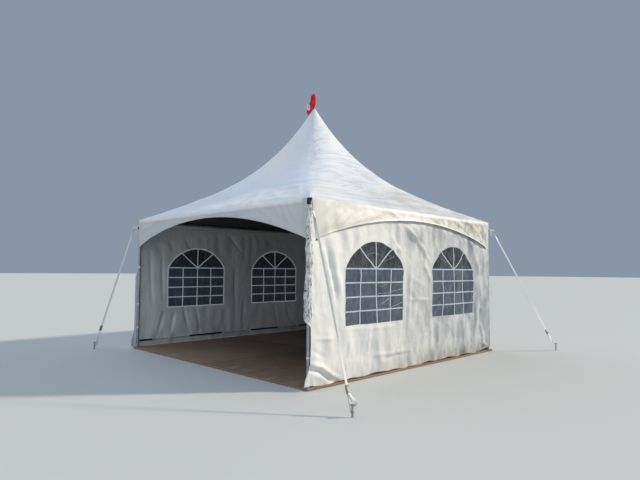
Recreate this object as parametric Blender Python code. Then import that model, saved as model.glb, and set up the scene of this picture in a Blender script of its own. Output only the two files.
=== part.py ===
"""Square marquee tent with a high peak, three windowed walls and an open front.

Metres, +Z up. The origin is the middle of the floor deck's underside and the open front faces -Y.
Pieces that stand on all four sides are made once, facing +X, and turned about the middle.
"""
import math

import bmesh
import bpy
from mathutils import Matrix, Vector

for old in list(bpy.data.objects):
    bpy.data.objects.remove(old, do_unlink=True)

# Overall sizes
TENT_WIDTH = 5.0                  # outside of the valances, one side to the other
EAVE_HEIGHT = 2.54          # top of the canopy's edge
ROOF_RISE = 2.34            # from the eave to where the hips would meet without the mast's hole

# The canopy's curve: each hip falls steeply at the peak and flares out to the eave
HIP_STRAIGHT = 0.49         # share of the fall that is a straight slope
HIP_POWER = 4.0             # how quickly the rest of the fall dies out
ROUND_POWER = 2.0           # how quickly the round peak turns into the square eave
PEAK_HOLE_RADIUS = 0.022

# Fabric, modelled thicker than the real coated cloth
FABRIC = 0.003
FILM = 0.0015

# Valances, with drops measured from the eave
FRONT_ARCH_DROP = 0.11
SIDE_ARCH_DROP = 0.15
VALANCE_CORNER_DROP = 0.54
VALANCE_SLOT = 0.05         # from the tent's corner to each valance's end

# Walls and their windows
WINDOW_OFFSET = 1.10        # from the wall's middle to each window's middle
WINDOW_WIDTH = 1.40
WINDOW_SILL = 0.78
WINDOW_SPRING = 1.60        # where the window's straight sides end
WINDOW_TOP = 2.02

# Frame
LEG_RADIUS = 0.025
BEAM_RADIUS = 0.030
SLEEVE_WALL = 0.005
SLEEVE_DEPTH = 0.14         # how far a tube goes into the corner fitting
FOOT_SIDE = 0.12
FOOT_THICKNESS = 0.008

# Lugs on the corner fittings, for the guy straps outside and the cables inside
LUG_RISE = 0.048            # from the leg sleeve's lower end to the lugs' middle
LUG_THICKNESS = 0.008
LUG_RADIUS = 0.020
LUG_HOLE_RADIUS = 0.009
GUY_LUG_LENGTH = 0.12
CABLE_LUG_LENGTH = 0.09

# Mast that two crossed cables hold up in mid-air
MAST_RADIUS = 0.030
MAST_FLANGE_RADIUS = 0.075
MAST_FLANGE_THICKNESS = 0.024
MAST_DROP = 0.27            # from the eave down to the mast's foot
MAST_HEAD_RADIUS = 0.060
MAST_HEAD_THICKNESS = 0.020
CABLE_RADIUS = 0.005

# Finial rod and its flag
ROD_RADIUS = 0.008
ROD_RISE = 0.31             # from where the hips would meet to the rod's top
COLLAR_RADIUS = 0.030
COLLAR_THICKNESS = 0.012
FLAG_THICKNESS = 0.030
FLAG_TURN = 225.0           # degrees from +X that the flag hangs towards
FLAG_OUTLINE = (            # reach from the rod and drop from its top, round the hanging bunch
    (0.0, 0.040), (0.040, 0.070), (0.075, 0.230), (0.125, 0.350), (0.150, 0.445),
    (0.115, 0.470), (0.070, 0.360), (0.035, 0.315), (0.0, 0.260),
)

# Guy straps and the stakes that hold them
STRAP_WIDTH = 0.035
STRAP_THICKNESS = 0.003
STRAP_LOW_HEIGHT = 0.055    # where a strap meets its stake
STAKE_RADIUS = 0.012
STAKE_HEIGHT = 0.14
STAKE_HEAD_RADIUS = 0.026
STAKE_HEAD_THICKNESS = 0.014
STAKES = {                  # from the tent's corner to the stake, across and along
    "front_right": (1.20, -0.48),
    "back_right": (0.87, 1.02),
    "back_left": (-0.90, 1.00),
    "front_left": (-0.42, -0.62),
}

# Floor deck
DECK_THICKNESS = 0.030

# Clearances and facets
GAP = 0.0003                # between pieces that touch
TUBE_SIDES = 16
RADIAL_STEPS = 11
ACROSS_STEPS = 10
ARCH_STEPS = 20
WINDOW_ARC_STEPS = 12

# Worked out from the sizes above
HALF = TENT_WIDTH / 2
EAVE_SLOPE = ROOF_RISE * HIP_STRAIGHT / HALF
VALANCE_INNER = HALF - FABRIC
WALL_OUTER = VALANCE_INNER - GAP
WALL_INNER = WALL_OUTER - FABRIC
BEAM_SLEEVE_RADIUS = BEAM_RADIUS + GAP + SLEEVE_WALL
LEG_SLEEVE_RADIUS = LEG_RADIUS + GAP + SLEEVE_WALL
FRAME_HALF = WALL_INNER - GAP - BEAM_SLEEVE_RADIUS
ROOF_UNDER_EDGE = EAVE_HEIGHT - FABRIC
BEAM_HEIGHT = (ROOF_UNDER_EDGE + EAVE_SLOPE * (HALF - FRAME_HALF)
               - (BEAM_SLEEVE_RADIUS + GAP) * math.hypot(1.0, EAVE_SLOPE))
LEG_TOP = BEAM_HEIGHT - BEAM_SLEEVE_RADIUS
LEG_SLEEVE_BOTTOM = LEG_TOP - SLEEVE_DEPTH
LUG_HEIGHT = LEG_SLEEVE_BOTTOM + LUG_RISE
MAST_FOOT_HEIGHT = EAVE_HEIGHT - MAST_DROP
ROD_TOP = EAVE_HEIGHT + ROOF_RISE + ROD_RISE
BEAM_HALF = FRAME_HALF - LEG_SLEEVE_RADIUS - GAP
FOOT_TOP = DECK_THICKNESS + GAP + FOOT_THICKNESS
WALL_BOTTOM = FOOT_TOP + GAP
WALL_TOP = BEAM_HEIGHT
DECK_HALF = FRAME_HALF + FOOT_SIDE / 2

# Sides and corners, as degrees of turn about the middle
SIDES = {"right": 0, "back": 90, "left": 180, "front": 270}
CORNERS = {"back_right": 0, "back_left": 90, "front_left": 180, "front_right": 270}


def material(name, colour, roughness, metallic=0.0, alpha=1.0):
    """One Principled material."""
    made = bpy.data.materials.new(name)
    made.use_nodes = True
    shader = made.node_tree.nodes["Principled BSDF"]
    shader.inputs["Base Color"].default_value = (*colour, 1.0)
    shader.inputs["Roughness"].default_value = roughness
    shader.inputs["Metallic"].default_value = metallic
    shader.inputs["Alpha"].default_value = alpha
    return made


CANOPY_CLOTH = material("canopy_cloth", (0.80, 0.81, 0.80), 0.45)
WALL_CLOTH = material("wall_cloth", (0.78, 0.78, 0.75), 0.50)
WINDOW_FILM = material("window_film", (0.30, 0.34, 0.38), 0.15, alpha=0.5)
ALUMINIUM = material("aluminium", (0.62, 0.63, 0.64), 0.40, 1.0)
BLACK_STEEL = material("black_steel", (0.03, 0.03, 0.03), 0.45)
GALVANISED = material("galvanised_steel", (0.55, 0.56, 0.57), 0.45, 1.0)
WEBBING = material("webbing", (0.74, 0.74, 0.72), 0.80)
FLAG_CLOTH = material("flag_cloth", (0.63, 0.02, 0.06), 0.75)
PLYWOOD = material("plywood", (0.16, 0.10, 0.07), 0.70)


def new_object(name, bm, surface, smooth=False):
    """An object from a bmesh, with its faces turned outwards."""
    bmesh.ops.recalc_face_normals(bm, faces=bm.faces)
    mesh = bpy.data.meshes.new(name)
    bm.to_mesh(mesh)
    bm.free()
    if smooth:
        mesh.shade_smooth()
        mesh.set_sharp_from_angle(angle=math.radians(35))
    mesh.materials.append(surface)
    made = bpy.data.objects.new(name, mesh)
    bpy.context.scene.collection.objects.link(made)
    return made


def turned_copy(name, mesh, degrees, shift=0.0):
    """A copy of a mesh, moved out along +X by the shift and then turned about the middle."""
    turn = math.radians(degrees)
    made = bpy.data.objects.new(name, mesh)
    bpy.context.scene.collection.objects.link(made)
    made.rotation_euler.z = turn
    made.location = (shift * math.cos(turn), shift * math.sin(turn), 0.0)
    return made


def taken_mesh(made):
    """The finished mesh of an object, which is then removed."""
    bpy.context.view_layer.update()
    ready = made.evaluated_get(bpy.context.evaluated_depsgraph_get())
    mesh = bpy.data.meshes.new_from_object(ready)
    mesh.name = made.name
    bpy.data.objects.remove(made, do_unlink=True)
    return mesh


def combined(base, joins=(), cuts=()):
    """The base with the joins added and the cuts taken away, as one mesh."""
    for tools, operation in ((joins, "UNION"), (cuts, "DIFFERENCE")):
        for tool in tools:
            step = base.modifiers.new(operation.lower(), "BOOLEAN")
            step.operation = operation
            step.solver = "EXACT"
            step.object = tool
    mesh = taken_mesh(base)
    for tool in (*joins, *cuts):
        bpy.data.objects.remove(tool, do_unlink=True)
    return mesh


def box_mesh(low, high):
    """A bmesh box between two corners."""
    bm = bmesh.new()
    size = Vector(high) - Vector(low)
    middle = (Vector(high) + Vector(low)) / 2
    place = Matrix.Translation(middle) @ Matrix.Diagonal((*size, 1.0))
    bmesh.ops.create_cube(bm, size=1.0, matrix=place)
    return bm


def rod_mesh(start, end, radius, sides=TUBE_SIDES):
    """A bmesh cylinder between two points."""
    start, end = Vector(start), Vector(end)
    run = end - start
    turn = run.to_track_quat("Z", "Y").to_matrix().to_4x4()
    place = Matrix.Translation((start + end) / 2) @ turn
    bm = bmesh.new()
    bmesh.ops.create_cone(bm, cap_ends=True, segments=sides, radius1=radius, radius2=radius,
                          depth=run.length, matrix=place)
    return bm


def turned_profile(profile, sides=TUBE_SIDES):
    """A bmesh solid spun about Z from (radius, height) points, bottom to top."""
    bm = bmesh.new()
    points = [(0.0, profile[0][1]), *profile, (0.0, profile[-1][1])]
    verts = [bm.verts.new((radius, 0.0, height)) for radius, height in points]
    edges = [bm.edges.new(pair) for pair in zip(verts, verts[1:])]
    bmesh.ops.spin(bm, geom=verts + edges, axis=(0, 0, 1), cent=(0, 0, 0),
                   angle=2 * math.pi, steps=sides, use_merge=True)
    bmesh.ops.remove_doubles(bm, verts=bm.verts, dist=1e-6)
    return bm


def plate_mesh(outline, thickness):
    """A bmesh plate from an outline in X and Z, centred on the plane y = 0."""
    bm = bmesh.new()
    bm.faces.new([bm.verts.new((x, -thickness / 2, z)) for x, z in outline])
    grown = bmesh.ops.extrude_face_region(bm, geom=list(bm.faces))
    moved = [item for item in grown["geom"] if isinstance(item, bmesh.types.BMVert)]
    bmesh.ops.translate(bm, verts=moved, vec=(0.0, thickness, 0.0))
    return bm


def roof_height(level):
    """Height of the canopy's top at a level, from 0 at the peak to 1 at the eave."""
    fall = 1.0 - level
    curve = HIP_STRAIGHT * fall + (1.0 - HIP_STRAIGHT) * fall ** HIP_POWER
    return EAVE_HEIGHT + ROOF_RISE * curve


def roof_point(level, across):
    """A point of the panel that faces +X; across runs from -1 on one hip to 1 on the other."""
    half = level * HALF
    roundness = 0.5 * (1.0 - level) ** ROUND_POWER
    out = half
    if roundness > 1e-4:
        out = half * (2.0 / (1.0 + abs(across) ** (1.0 / roundness))) ** roundness
    return Vector((out, across * out, roof_height(level)))


def height_at_radius(radius):
    """Height of the canopy's top at a small radius, midway between two hips."""
    low, high = 0.0, 1.0
    for _ in range(40):
        level = (low + high) / 2
        if roof_point(level, 0.0).x < radius:
            low = level
        else:
            high = level
    return roof_height(low)


def roof_panels():
    """Four curved panels that meet along the hips."""
    first_level = PEAK_HOLE_RADIUS * math.sqrt(2) / TENT_WIDTH
    bm = bmesh.new()
    bmesh.ops.create_grid(bm, x_segments=RADIAL_STEPS, y_segments=ACROSS_STEPS, size=1.0)
    for vert in bm.verts:
        share = ((vert.co.x + 1.0) / 2) ** 1.5
        vert.co = roof_point(first_level + (1.0 - first_level) * share, vert.co.y)
    grown = bmesh.ops.extrude_face_region(bm, geom=list(bm.faces))
    lowered = [item for item in grown["geom"] if isinstance(item, bmesh.types.BMVert)]
    bmesh.ops.translate(bm, verts=lowered, vec=(0.0, 0.0, -FABRIC))
    mesh = taken_mesh(new_object("roof_panel", bm, CANOPY_CLOTH, smooth=True))
    for side, turn in SIDES.items():
        turned_copy(f"roof_panel_{side}", mesh, turn, GAP)


def valance_mesh(arch_drop):
    """A hanging valance with an arched lower edge."""
    half = HALF - VALANCE_SLOT
    top = ROOF_UNDER_EDGE - GAP
    arch_top = EAVE_HEIGHT - arch_drop
    rise = VALANCE_CORNER_DROP - arch_drop
    radius = (half ** 2 + rise ** 2) / (2 * rise)
    bm = bmesh.new()
    bmesh.ops.create_grid(bm, x_segments=ARCH_STEPS, y_segments=1, size=1.0)
    for vert in bm.verts:
        along = vert.co.x * half
        arch = arch_top - radius + math.sqrt(radius ** 2 - along ** 2)
        vert.co = (VALANCE_INNER, along, top if vert.co.y > 0 else arch)
    grown = bmesh.ops.extrude_face_region(bm, geom=list(bm.faces))
    moved = [item for item in grown["geom"] if isinstance(item, bmesh.types.BMVert)]
    bmesh.ops.translate(bm, verts=moved, vec=(FABRIC, 0.0, 0.0))
    return taken_mesh(new_object("valance", bm, CANOPY_CLOTH))


def valances():
    """One valance below each panel's edge; the front arch is the highest."""
    side_mesh = valance_mesh(SIDE_ARCH_DROP)
    front_mesh = valance_mesh(FRONT_ARCH_DROP)
    for side, turn in SIDES.items():
        turned_copy(f"valance_{side}", front_mesh if side == "front" else side_mesh, turn)


def window_outline(middle, margin):
    """A window's outline in Y and Z, moved inwards by the margin."""
    half = WINDOW_WIDTH / 2
    rise = WINDOW_TOP - WINDOW_SPRING
    radius = (half ** 2 + rise ** 2) / (2 * rise)
    centre = WINDOW_TOP - radius
    half, radius = half - margin, radius - margin
    reach = math.asin(half / radius)
    outline = [(middle - half, WINDOW_SILL + margin), (middle + half, WINDOW_SILL + margin)]
    for step in range(WINDOW_ARC_STEPS + 1):
        angle = reach * (1.0 - 2.0 * step / WINDOW_ARC_STEPS)
        outline.append((middle + radius * math.sin(angle), centre + radius * math.cos(angle)))
    return outline


def window_solid(name, middle, margin, inner, thickness, surface):
    """A window-shaped plate whose inner face lies at the given distance from the middle."""
    bm = plate_mesh(window_outline(middle, margin), thickness)
    bmesh.ops.rotate(bm, verts=bm.verts, matrix=Matrix.Rotation(math.pi / 2, 3, "Z"))
    bmesh.ops.translate(bm, verts=bm.verts, vec=(inner + thickness / 2, 0.0, 0.0))
    return new_object(name, bm, surface)


def walls_and_windows():
    """Three walls, each with two windows cut through and a clear film in each."""
    bm = box_mesh((WALL_INNER, -FRAME_HALF, WALL_BOTTOM), (WALL_OUTER, FRAME_HALF, WALL_TOP))
    wall = new_object("wall", bm, WALL_CLOTH)
    middles = {"near": -WINDOW_OFFSET, "far": WINDOW_OFFSET}
    cuts = [window_solid("cut", middle, 0.0, WALL_INNER - FABRIC, 3 * FABRIC, WALL_CLOTH)
            for middle in middles.values()]
    wall_mesh = combined(wall, cuts=cuts)
    film_inner = WALL_INNER + (FABRIC - FILM) / 2
    films = {place: taken_mesh(window_solid("film", middle, GAP, film_inner, FILM, WINDOW_FILM))
             for place, middle in middles.items()}
    for side in ("right", "back", "left"):
        turned_copy(f"wall_{side}", wall_mesh, SIDES[side])
        for number, film in enumerate(films.values(), start=1):
            turned_copy(f"window_{side}_{number}", film, SIDES[side])


def legs():
    """Four tubes, each welded to a square foot plate."""
    foot_low = (FRAME_HALF - FOOT_SIDE / 2, FRAME_HALF - FOOT_SIDE / 2, DECK_THICKNESS + GAP)
    foot_high = (FRAME_HALF + FOOT_SIDE / 2, FRAME_HALF + FOOT_SIDE / 2, FOOT_TOP)
    foot = new_object("foot", box_mesh(foot_low, foot_high), ALUMINIUM)
    start = (FRAME_HALF, FRAME_HALF, DECK_THICKNESS + GAP + FOOT_THICKNESS / 2)
    end = (FRAME_HALF, FRAME_HALF, LEG_TOP)
    tube = new_object("tube", rod_mesh(start, end, LEG_RADIUS), ALUMINIUM, smooth=True)
    mesh = combined(tube, joins=[foot])
    for corner, turn in CORNERS.items():
        turned_copy(f"leg_{corner}", mesh, turn)


def beams():
    """Four eave beams, each held in two corner fittings."""
    start, end = (FRAME_HALF, -BEAM_HALF, BEAM_HEIGHT), (FRAME_HALF, BEAM_HALF, BEAM_HEIGHT)
    bm = rod_mesh(start, end, BEAM_RADIUS)
    mesh = taken_mesh(new_object("beam", bm, ALUMINIUM, smooth=True))
    for side, turn in SIDES.items():
        turned_copy(f"eave_beam_{side}", mesh, turn)


def lug_mesh(direction, reach):
    """An upright plate with a round end, from the leg's middle out to the reach."""
    outline = [(0.0, LUG_HEIGHT - LUG_RADIUS), (reach, LUG_HEIGHT - LUG_RADIUS)]
    for step in range(1, 12):
        angle = math.pi * (step / 12 - 0.5)
        outline.append((reach + LUG_RADIUS * math.cos(angle),
                        LUG_HEIGHT + LUG_RADIUS * math.sin(angle)))
    outline += [(reach, LUG_HEIGHT + LUG_RADIUS), (0.0, LUG_HEIGHT + LUG_RADIUS)]
    bm = plate_mesh(outline, LUG_THICKNESS)
    turn = math.atan2(direction[1], direction[0])
    bmesh.ops.rotate(bm, verts=bm.verts, matrix=Matrix.Rotation(turn, 3, "Z"))
    return bm


def lug_hole(corner, direction, reach):
    """A drill for the hole in a lug."""
    along = Vector((direction[0], direction[1])).normalized()
    middle = corner + Vector((along.x * reach, along.y * reach, LUG_HEIGHT))
    across = Vector((-along.y, along.x, 0.0)) * LUG_THICKNESS
    return new_object("drill", rod_mesh(middle - across, middle + across, LUG_HOLE_RADIUS, 12),
                      BLACK_STEEL)


def corner_point(corner):
    """The leg's middle line at a corner, on the ground."""
    turn = Matrix.Rotation(math.radians(CORNERS[corner]), 3, "Z")
    return turn @ Vector((FRAME_HALF, FRAME_HALF, 0.0))


def inward(corner):
    """The direction from a corner to the tent's middle."""
    return -corner_point(corner).normalized()


def corner_fittings():
    """Sleeves for a leg and two beams, with a lug outside and one inside."""
    sleeve_end = FRAME_HALF - LEG_SLEEVE_RADIUS - SLEEVE_DEPTH
    sleeve_top = ROOF_UNDER_EDGE - GAP
    axes = ((Vector((1, 0, 0)), Vector((0, FRAME_HALF, BEAM_HEIGHT))),
            (Vector((0, 1, 0)), Vector((FRAME_HALF, 0, BEAM_HEIGHT))))
    for corner in CORNERS:
        corner_on_ground = corner_point(corner)
        turn = Matrix.Rotation(math.radians(CORNERS[corner]), 3, "Z")
        low = corner_on_ground + Vector((0.0, 0.0, LEG_SLEEVE_BOTTOM))
        high = corner_on_ground + Vector((0.0, 0.0, sleeve_top))
        base = new_object("sleeve", rod_mesh(low, high, LEG_SLEEVE_RADIUS), BLACK_STEEL,
                          smooth=True)
        joins, cuts = [], []
        for axis, offset in axes:
            start, end = turn @ (offset + axis * sleeve_end), turn @ (offset + axis * FRAME_HALF)
            bore_end = turn @ (offset + axis * (BEAM_HALF + GAP))
            bore_start = turn @ (offset + axis * (sleeve_end - SLEEVE_WALL))
            joins.append(new_object("sleeve", rod_mesh(start, end, BEAM_SLEEVE_RADIUS),
                                    BLACK_STEEL))
            cuts.append(new_object("bore", rod_mesh(bore_start, bore_end, BEAM_RADIUS + GAP),
                                   BLACK_STEEL))
        for direction, reach in ((STAKES[corner], GUY_LUG_LENGTH),
                                 (inward(corner), CABLE_LUG_LENGTH)):
            lug = lug_mesh(direction, reach)
            bmesh.ops.translate(lug, verts=lug.verts, vec=corner_on_ground)
            joins.append(new_object("lug", lug, BLACK_STEEL))
            cuts.append(lug_hole(corner_on_ground, direction, reach))
        bore_low = corner_on_ground + Vector((0.0, 0.0, LEG_SLEEVE_BOTTOM - SLEEVE_WALL))
        bore_high = corner_on_ground + Vector((0.0, 0.0, LEG_TOP + GAP))
        cuts.append(new_object("bore", rod_mesh(bore_low, bore_high, LEG_RADIUS + GAP),
                               BLACK_STEEL))
        mesh = combined(base, joins, cuts)
        turned_copy(f"corner_fitting_{corner}", mesh, 0)


def mast_and_cables():
    """A short mast under the peak, carried on four cables from the corners."""
    rim_height = height_at_radius(MAST_HEAD_RADIUS) - FABRIC - GAP
    foot_top = MAST_FOOT_HEIGHT + MAST_FLANGE_THICKNESS
    head_low = rim_height - MAST_HEAD_THICKNESS
    profile = [
        (MAST_FLANGE_RADIUS, MAST_FOOT_HEIGHT), (MAST_FLANGE_RADIUS, foot_top),
        (MAST_RADIUS, foot_top), (MAST_RADIUS, head_low - MAST_RADIUS),
        (MAST_HEAD_RADIUS, head_low), (MAST_HEAD_RADIUS, rim_height),
    ]
    new_object("mast", turned_profile(profile), ALUMINIUM, smooth=True)
    flange_middle = MAST_FOOT_HEIGHT + MAST_FLANGE_THICKNESS / 2
    for corner in CORNERS:
        lug_centre = corner_point(corner) + inward(corner) * CABLE_LUG_LENGTH
        lug_centre.z = LUG_HEIGHT
        rim = -inward(corner) * (MAST_FLANGE_RADIUS + 2 * GAP)
        rim.z = flange_middle
        run = (rim - lug_centre).normalized()
        start = lug_centre + run * (LUG_RADIUS + GAP)
        new_object(f"cable_{corner}", rod_mesh(start, rim, CABLE_RADIUS, 8), GALVANISED,
                   smooth=True)
    return rim_height


def finial_and_flag(head_top):
    """A thin rod through the canopy's hole, with a collar on it and a limp flag."""
    collar_low = height_at_radius(PEAK_HOLE_RADIUS) + 2 * GAP
    collar_high = collar_low + COLLAR_THICKNESS
    profile = [
        (ROD_RADIUS, head_top + GAP), (ROD_RADIUS, collar_low), (COLLAR_RADIUS, collar_low),
        (COLLAR_RADIUS, collar_high), (ROD_RADIUS, collar_high), (ROD_RADIUS, ROD_TOP),
    ]
    new_object("finial_rod", turned_profile(profile, 12), ALUMINIUM, smooth=True)
    outline = [(ROD_RADIUS + GAP + reach, ROD_TOP - drop) for reach, drop in FLAG_OUTLINE]
    bm = plate_mesh(outline, FLAG_THICKNESS)
    turn = Matrix.Rotation(math.radians(FLAG_TURN), 3, "Z")
    bmesh.ops.rotate(bm, verts=bm.verts, matrix=turn)
    new_object("flag", bm, FLAG_CLOTH)


def guys_and_stakes():
    """A strap from each outer lug down to a headed stake."""
    for corner, offset in STAKES.items():
        corner_on_ground = corner_point(corner)
        outward = Vector((*offset, 0.0)).normalized()
        outer_corner = corner_on_ground * (HALF / FRAME_HALF)
        stake = outer_corner + Vector((*offset, 0.0))
        lug_centre = corner_on_ground + outward * GUY_LUG_LENGTH
        lug_centre.z = LUG_HEIGHT
        low_end = Vector((stake.x, stake.y, STRAP_LOW_HEIGHT))
        run = (low_end - lug_centre).normalized()
        level_run = Vector((run.x, run.y, 0.0)).normalized()
        clear = STAKE_RADIUS + GAP + STRAP_THICKNESS / 2 * abs(run.z)
        low_end -= level_run * clear
        run = (low_end - lug_centre).normalized()
        start = lug_centre + run * (LUG_RADIUS + GAP)
        length = (low_end - start).length
        bm = box_mesh((-STRAP_WIDTH / 2, -STRAP_THICKNESS / 2, 0.0),
                      (STRAP_WIDTH / 2, STRAP_THICKNESS / 2, length))
        side = run.cross(Vector((0, 0, 1))).normalized()
        basis = Matrix((side, run.cross(side), run)).transposed()
        bmesh.ops.rotate(bm, verts=bm.verts, matrix=basis)
        bmesh.ops.translate(bm, verts=bm.verts, vec=start)
        new_object(f"guy_strap_{corner}", bm, WEBBING)
        neck = STAKE_HEIGHT - STAKE_HEAD_THICKNESS
        profile = [(STAKE_RADIUS, 0.0), (STAKE_RADIUS, neck), (STAKE_HEAD_RADIUS, neck),
                   (STAKE_HEAD_RADIUS, STAKE_HEIGHT)]
        bm = turned_profile(profile, 12)
        bmesh.ops.translate(bm, verts=bm.verts, vec=(stake.x, stake.y, 0.0))
        new_object(f"stake_{corner}", bm, GALVANISED, smooth=True)


def floor_deck():
    """The boarded floor, which ends flush with the foot plates."""
    low = (-DECK_HALF, -DECK_HALF, 0.0)
    high = (DECK_HALF, DECK_HALF, DECK_THICKNESS)
    new_object("floor_deck", box_mesh(low, high), PLYWOOD)


floor_deck()
legs()
beams()
corner_fittings()
roof_panels()
valances()
walls_and_windows()
finial_and_flag(mast_and_cables())
guys_and_stakes()
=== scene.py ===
"""Dresses a packed marquee tent: canopy, walls, windows, straps, flag, floor boards and stage."""

import functools
import math
import random

import bmesh
import bpy
from mathutils import Matrix, Vector, noise


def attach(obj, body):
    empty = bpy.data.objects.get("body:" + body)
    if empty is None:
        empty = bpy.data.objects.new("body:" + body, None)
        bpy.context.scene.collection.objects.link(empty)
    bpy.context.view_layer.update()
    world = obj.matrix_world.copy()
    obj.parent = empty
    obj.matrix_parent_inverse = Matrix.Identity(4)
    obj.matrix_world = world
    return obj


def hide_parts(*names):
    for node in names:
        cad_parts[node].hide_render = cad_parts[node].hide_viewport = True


bl_info = {
    "name": "Marquee Tent Dressing",
    "version": (1, 0, 0),
    "blender": (4, 5, 0),
    "location": "3D View > Sidebar > Tent",
    "description": "Adds the cloth, windows, straps, flag, boards and stage of a marquee tent",
    "category": "Add Mesh",
}

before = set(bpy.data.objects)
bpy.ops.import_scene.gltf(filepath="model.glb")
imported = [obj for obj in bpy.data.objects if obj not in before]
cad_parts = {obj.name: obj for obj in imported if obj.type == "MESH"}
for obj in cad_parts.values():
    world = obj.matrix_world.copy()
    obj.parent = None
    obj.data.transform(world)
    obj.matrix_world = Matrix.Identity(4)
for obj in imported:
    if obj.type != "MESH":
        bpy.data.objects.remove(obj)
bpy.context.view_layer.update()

# Sizes that the part's source also has, in metres
HALF = 2.5
EAVE_HEIGHT = 2.54
ROOF_RISE = 2.34
HIP_STRAIGHT = 0.49
HIP_POWER = 4
ROUND_POWER = 2
PEAK_HOLE_RADIUS = 0.022
FABRIC = 0.003
FILM = 0.0015
VALANCE_DROPS = {"front": 0.11, "right": 0.15, "back": 0.15, "left": 0.15}
VALANCE_CORNER_DROP = 0.54
VALANCE_SLOT = 0.05
WINDOW_OFFSET = 1.1
WINDOW_HALF = 0.7
WINDOW_SILL = 0.78
WINDOW_SPRING = 1.6
WINDOW_TOP = 2.02
LEG_RADIUS = 0.025
FRAME_HALF = 2.4581
WALL_OUTER = 2.4967
WALL_BOTTOM = 0.0386
WALL_TOP = 2.517
BEAM_HEIGHT = 2.517
LUG_HEIGHT = 2.39
GUY_LUG_LENGTH = 0.12
CABLE_LUG_LENGTH = 0.09
MAST_FOOT_HEIGHT = 2.27
MAST_FLANGE_RADIUS = 0.075
MAST_FLANGE_THICKNESS = 0.024
ROD_TOP = 5.19
ROD_RADIUS = 0.008
FLAG_TURN = 225
FOOT_TOP = 0.0383
DECK_HALF = 2.5181
DECK_THICKNESS = 0.03
STRAP_WIDTH = 0.035
STRAP_THICKNESS = 0.003
STRAP_LOW_HEIGHT = 0.055
STAKE_RADIUS = 0.012
GAP = 0.0003

SIDES = {"right": 0, "back": 90, "left": 180, "front": 270}
WALLS = ("right", "back", "left")
CORNERS = {"back_right": 0, "back_left": 90, "front_left": 180, "front_right": 270}
STAKES = {
    "front_right": (1.2, -0.48),
    "back_right": (0.87, 1.02),
    "back_left": (-0.9, 1),
    "front_left": (-0.42, -0.62),
}
UP = Vector((0, 0, 1))


def linear(code):
    """A screen colour such as "e9e7df" as the linear red, green and blue that shaders take."""
    parts = [int(code[i:i + 2], 16) / 255 for i in (0, 2, 4)]
    return tuple(p / 12.92 if p <= 0.04045 else ((p + 0.055) / 1.055) ** 2.4 for p in parts)


def smooth_step(low, high, value):
    """0 below low, 1 above high, and an even turn between."""
    share = min(max((value - low) / (high - low), 0), 1)
    return share * share * (3 - 2 * share)


# Settings


def colour_setting(name, description, code):
    """A colour property whose default is a screen colour."""
    return bpy.props.FloatVectorProperty(
        name=name, description=description, subtype="COLOR", size=3, min=0, max=1,
        default=linear(code))


def length_setting(name, description, default):
    """A length property in metres."""
    return bpy.props.FloatProperty(
        name=name, description=description, default=default, min=0, unit="LENGTH")


def strength_setting(name, description, default):
    """A light's strength."""
    return bpy.props.FloatProperty(name=name, description=description, default=default, min=0)


class TentClothSettings(bpy.types.PropertyGroup):
    """Colours and folds of the canopy and walls."""

    canopy_colour: colour_setting("Canopy Colour", "Clean canopy cloth", "eeece4")
    # Dark on purpose: painted shade for the dim inside of the roof
    shaded_lining_colour: colour_setting("Lining Colour", "The canopy's dull inner face", "4c4a45")
    wall_colour: colour_setting("Wall Colour", "Clean wall cloth", "e9eae6")
    # Also the colour of the painted shade on the canopy's folds and right side
    soil_and_shade_colour: colour_setting("Soil Colour", "Rain marks and dirt on the cloth", "8f9088")
    binding_colour: colour_setting("Binding Colour", "Hem and window bindings", "e9e9e2")
    roof_fold: length_setting("Roof Fold", "Height of the canopy's tension folds", 0.027)
    eave_pucker: length_setting("Eave Pucker", "Depth of the pulls along the eave", 0.014)
    wall_fold: length_setting("Wall Fold", "Height of the walls' hanging folds", 0.034)
    billow: length_setting("Billow", "How far the walls belly out", 0.014)


class TentWindowSettings(bpy.types.PropertyGroup):
    """Bars and film of the windows."""

    # Dark on purpose: painted shade for the dim inside seen through the clear film
    film_tint_and_shade_colour: colour_setting("Film Colour", "Soft clear film against the dim inside", "475262")
    # Dark on purpose: painted shade and reflection in the arch
    arch_shade_colour: colour_setting("Arch Colour", "The film in the arch, above the bars", "383a3a")
    # Light on purpose: painted glints along the film's creases
    crease_glint_colour: colour_setting("Crease Colour", "Sharp creases in the film", "b4bcc6")
    bar_colour: colour_setting("Bar Colour", "Welded window bars", "c2cad4")
    bar_width: length_setting("Bar Width", "Width of a window bar", 0.019)
    border_width: length_setting("Border Width", "Width of the window's welded border", 0.021)


class TentFittingSettings(bpy.types.PropertyGroup):
    """Straps, flag and boards."""

    webbing_colour: colour_setting("Webbing Colour", "Guy straps and ties", "e6e6e3")
    flag_colour: colour_setting("Flag Colour", "Limp flag on the peak", "ee2740")
    board_colour: colour_setting("Board Colour", "Worn film on the floor boards", "927a66")
    edge_colour: colour_setting("Edge Colour", "Raw edge of the floor boards", "b08b76")
    board_gap: length_setting("Board Gap", "Gap between floor boards", 0.005)


class TentStageSettings(bpy.types.PropertyGroup):
    """Floor, light and background round the tent."""

    floor_colour: colour_setting("Floor Colour", "Plain floor", "c9cbc8")
    sky_colour: colour_setting("Sky Colour", "Soft light from all round", "b4c6dc")
    sun_colour: colour_setting("Sun Colour", "Warm main light", "fff1dc")
    fill_colour: colour_setting("Fill Colour", "Wide soft light from the front", "e4ecf8")
    sky_strength: strength_setting("Sky Strength", "Strength of the light from all round", 0.54)
    sun_strength: strength_setting("Sun Strength", "Strength of the main light", 2.9)
    top_strength: strength_setting("Top Strength", "Strength of the soft light from above", 0.78)
    fill_strength: strength_setting("Fill Strength", "Strength of the front light", 0.7)


# Shader kit


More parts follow.
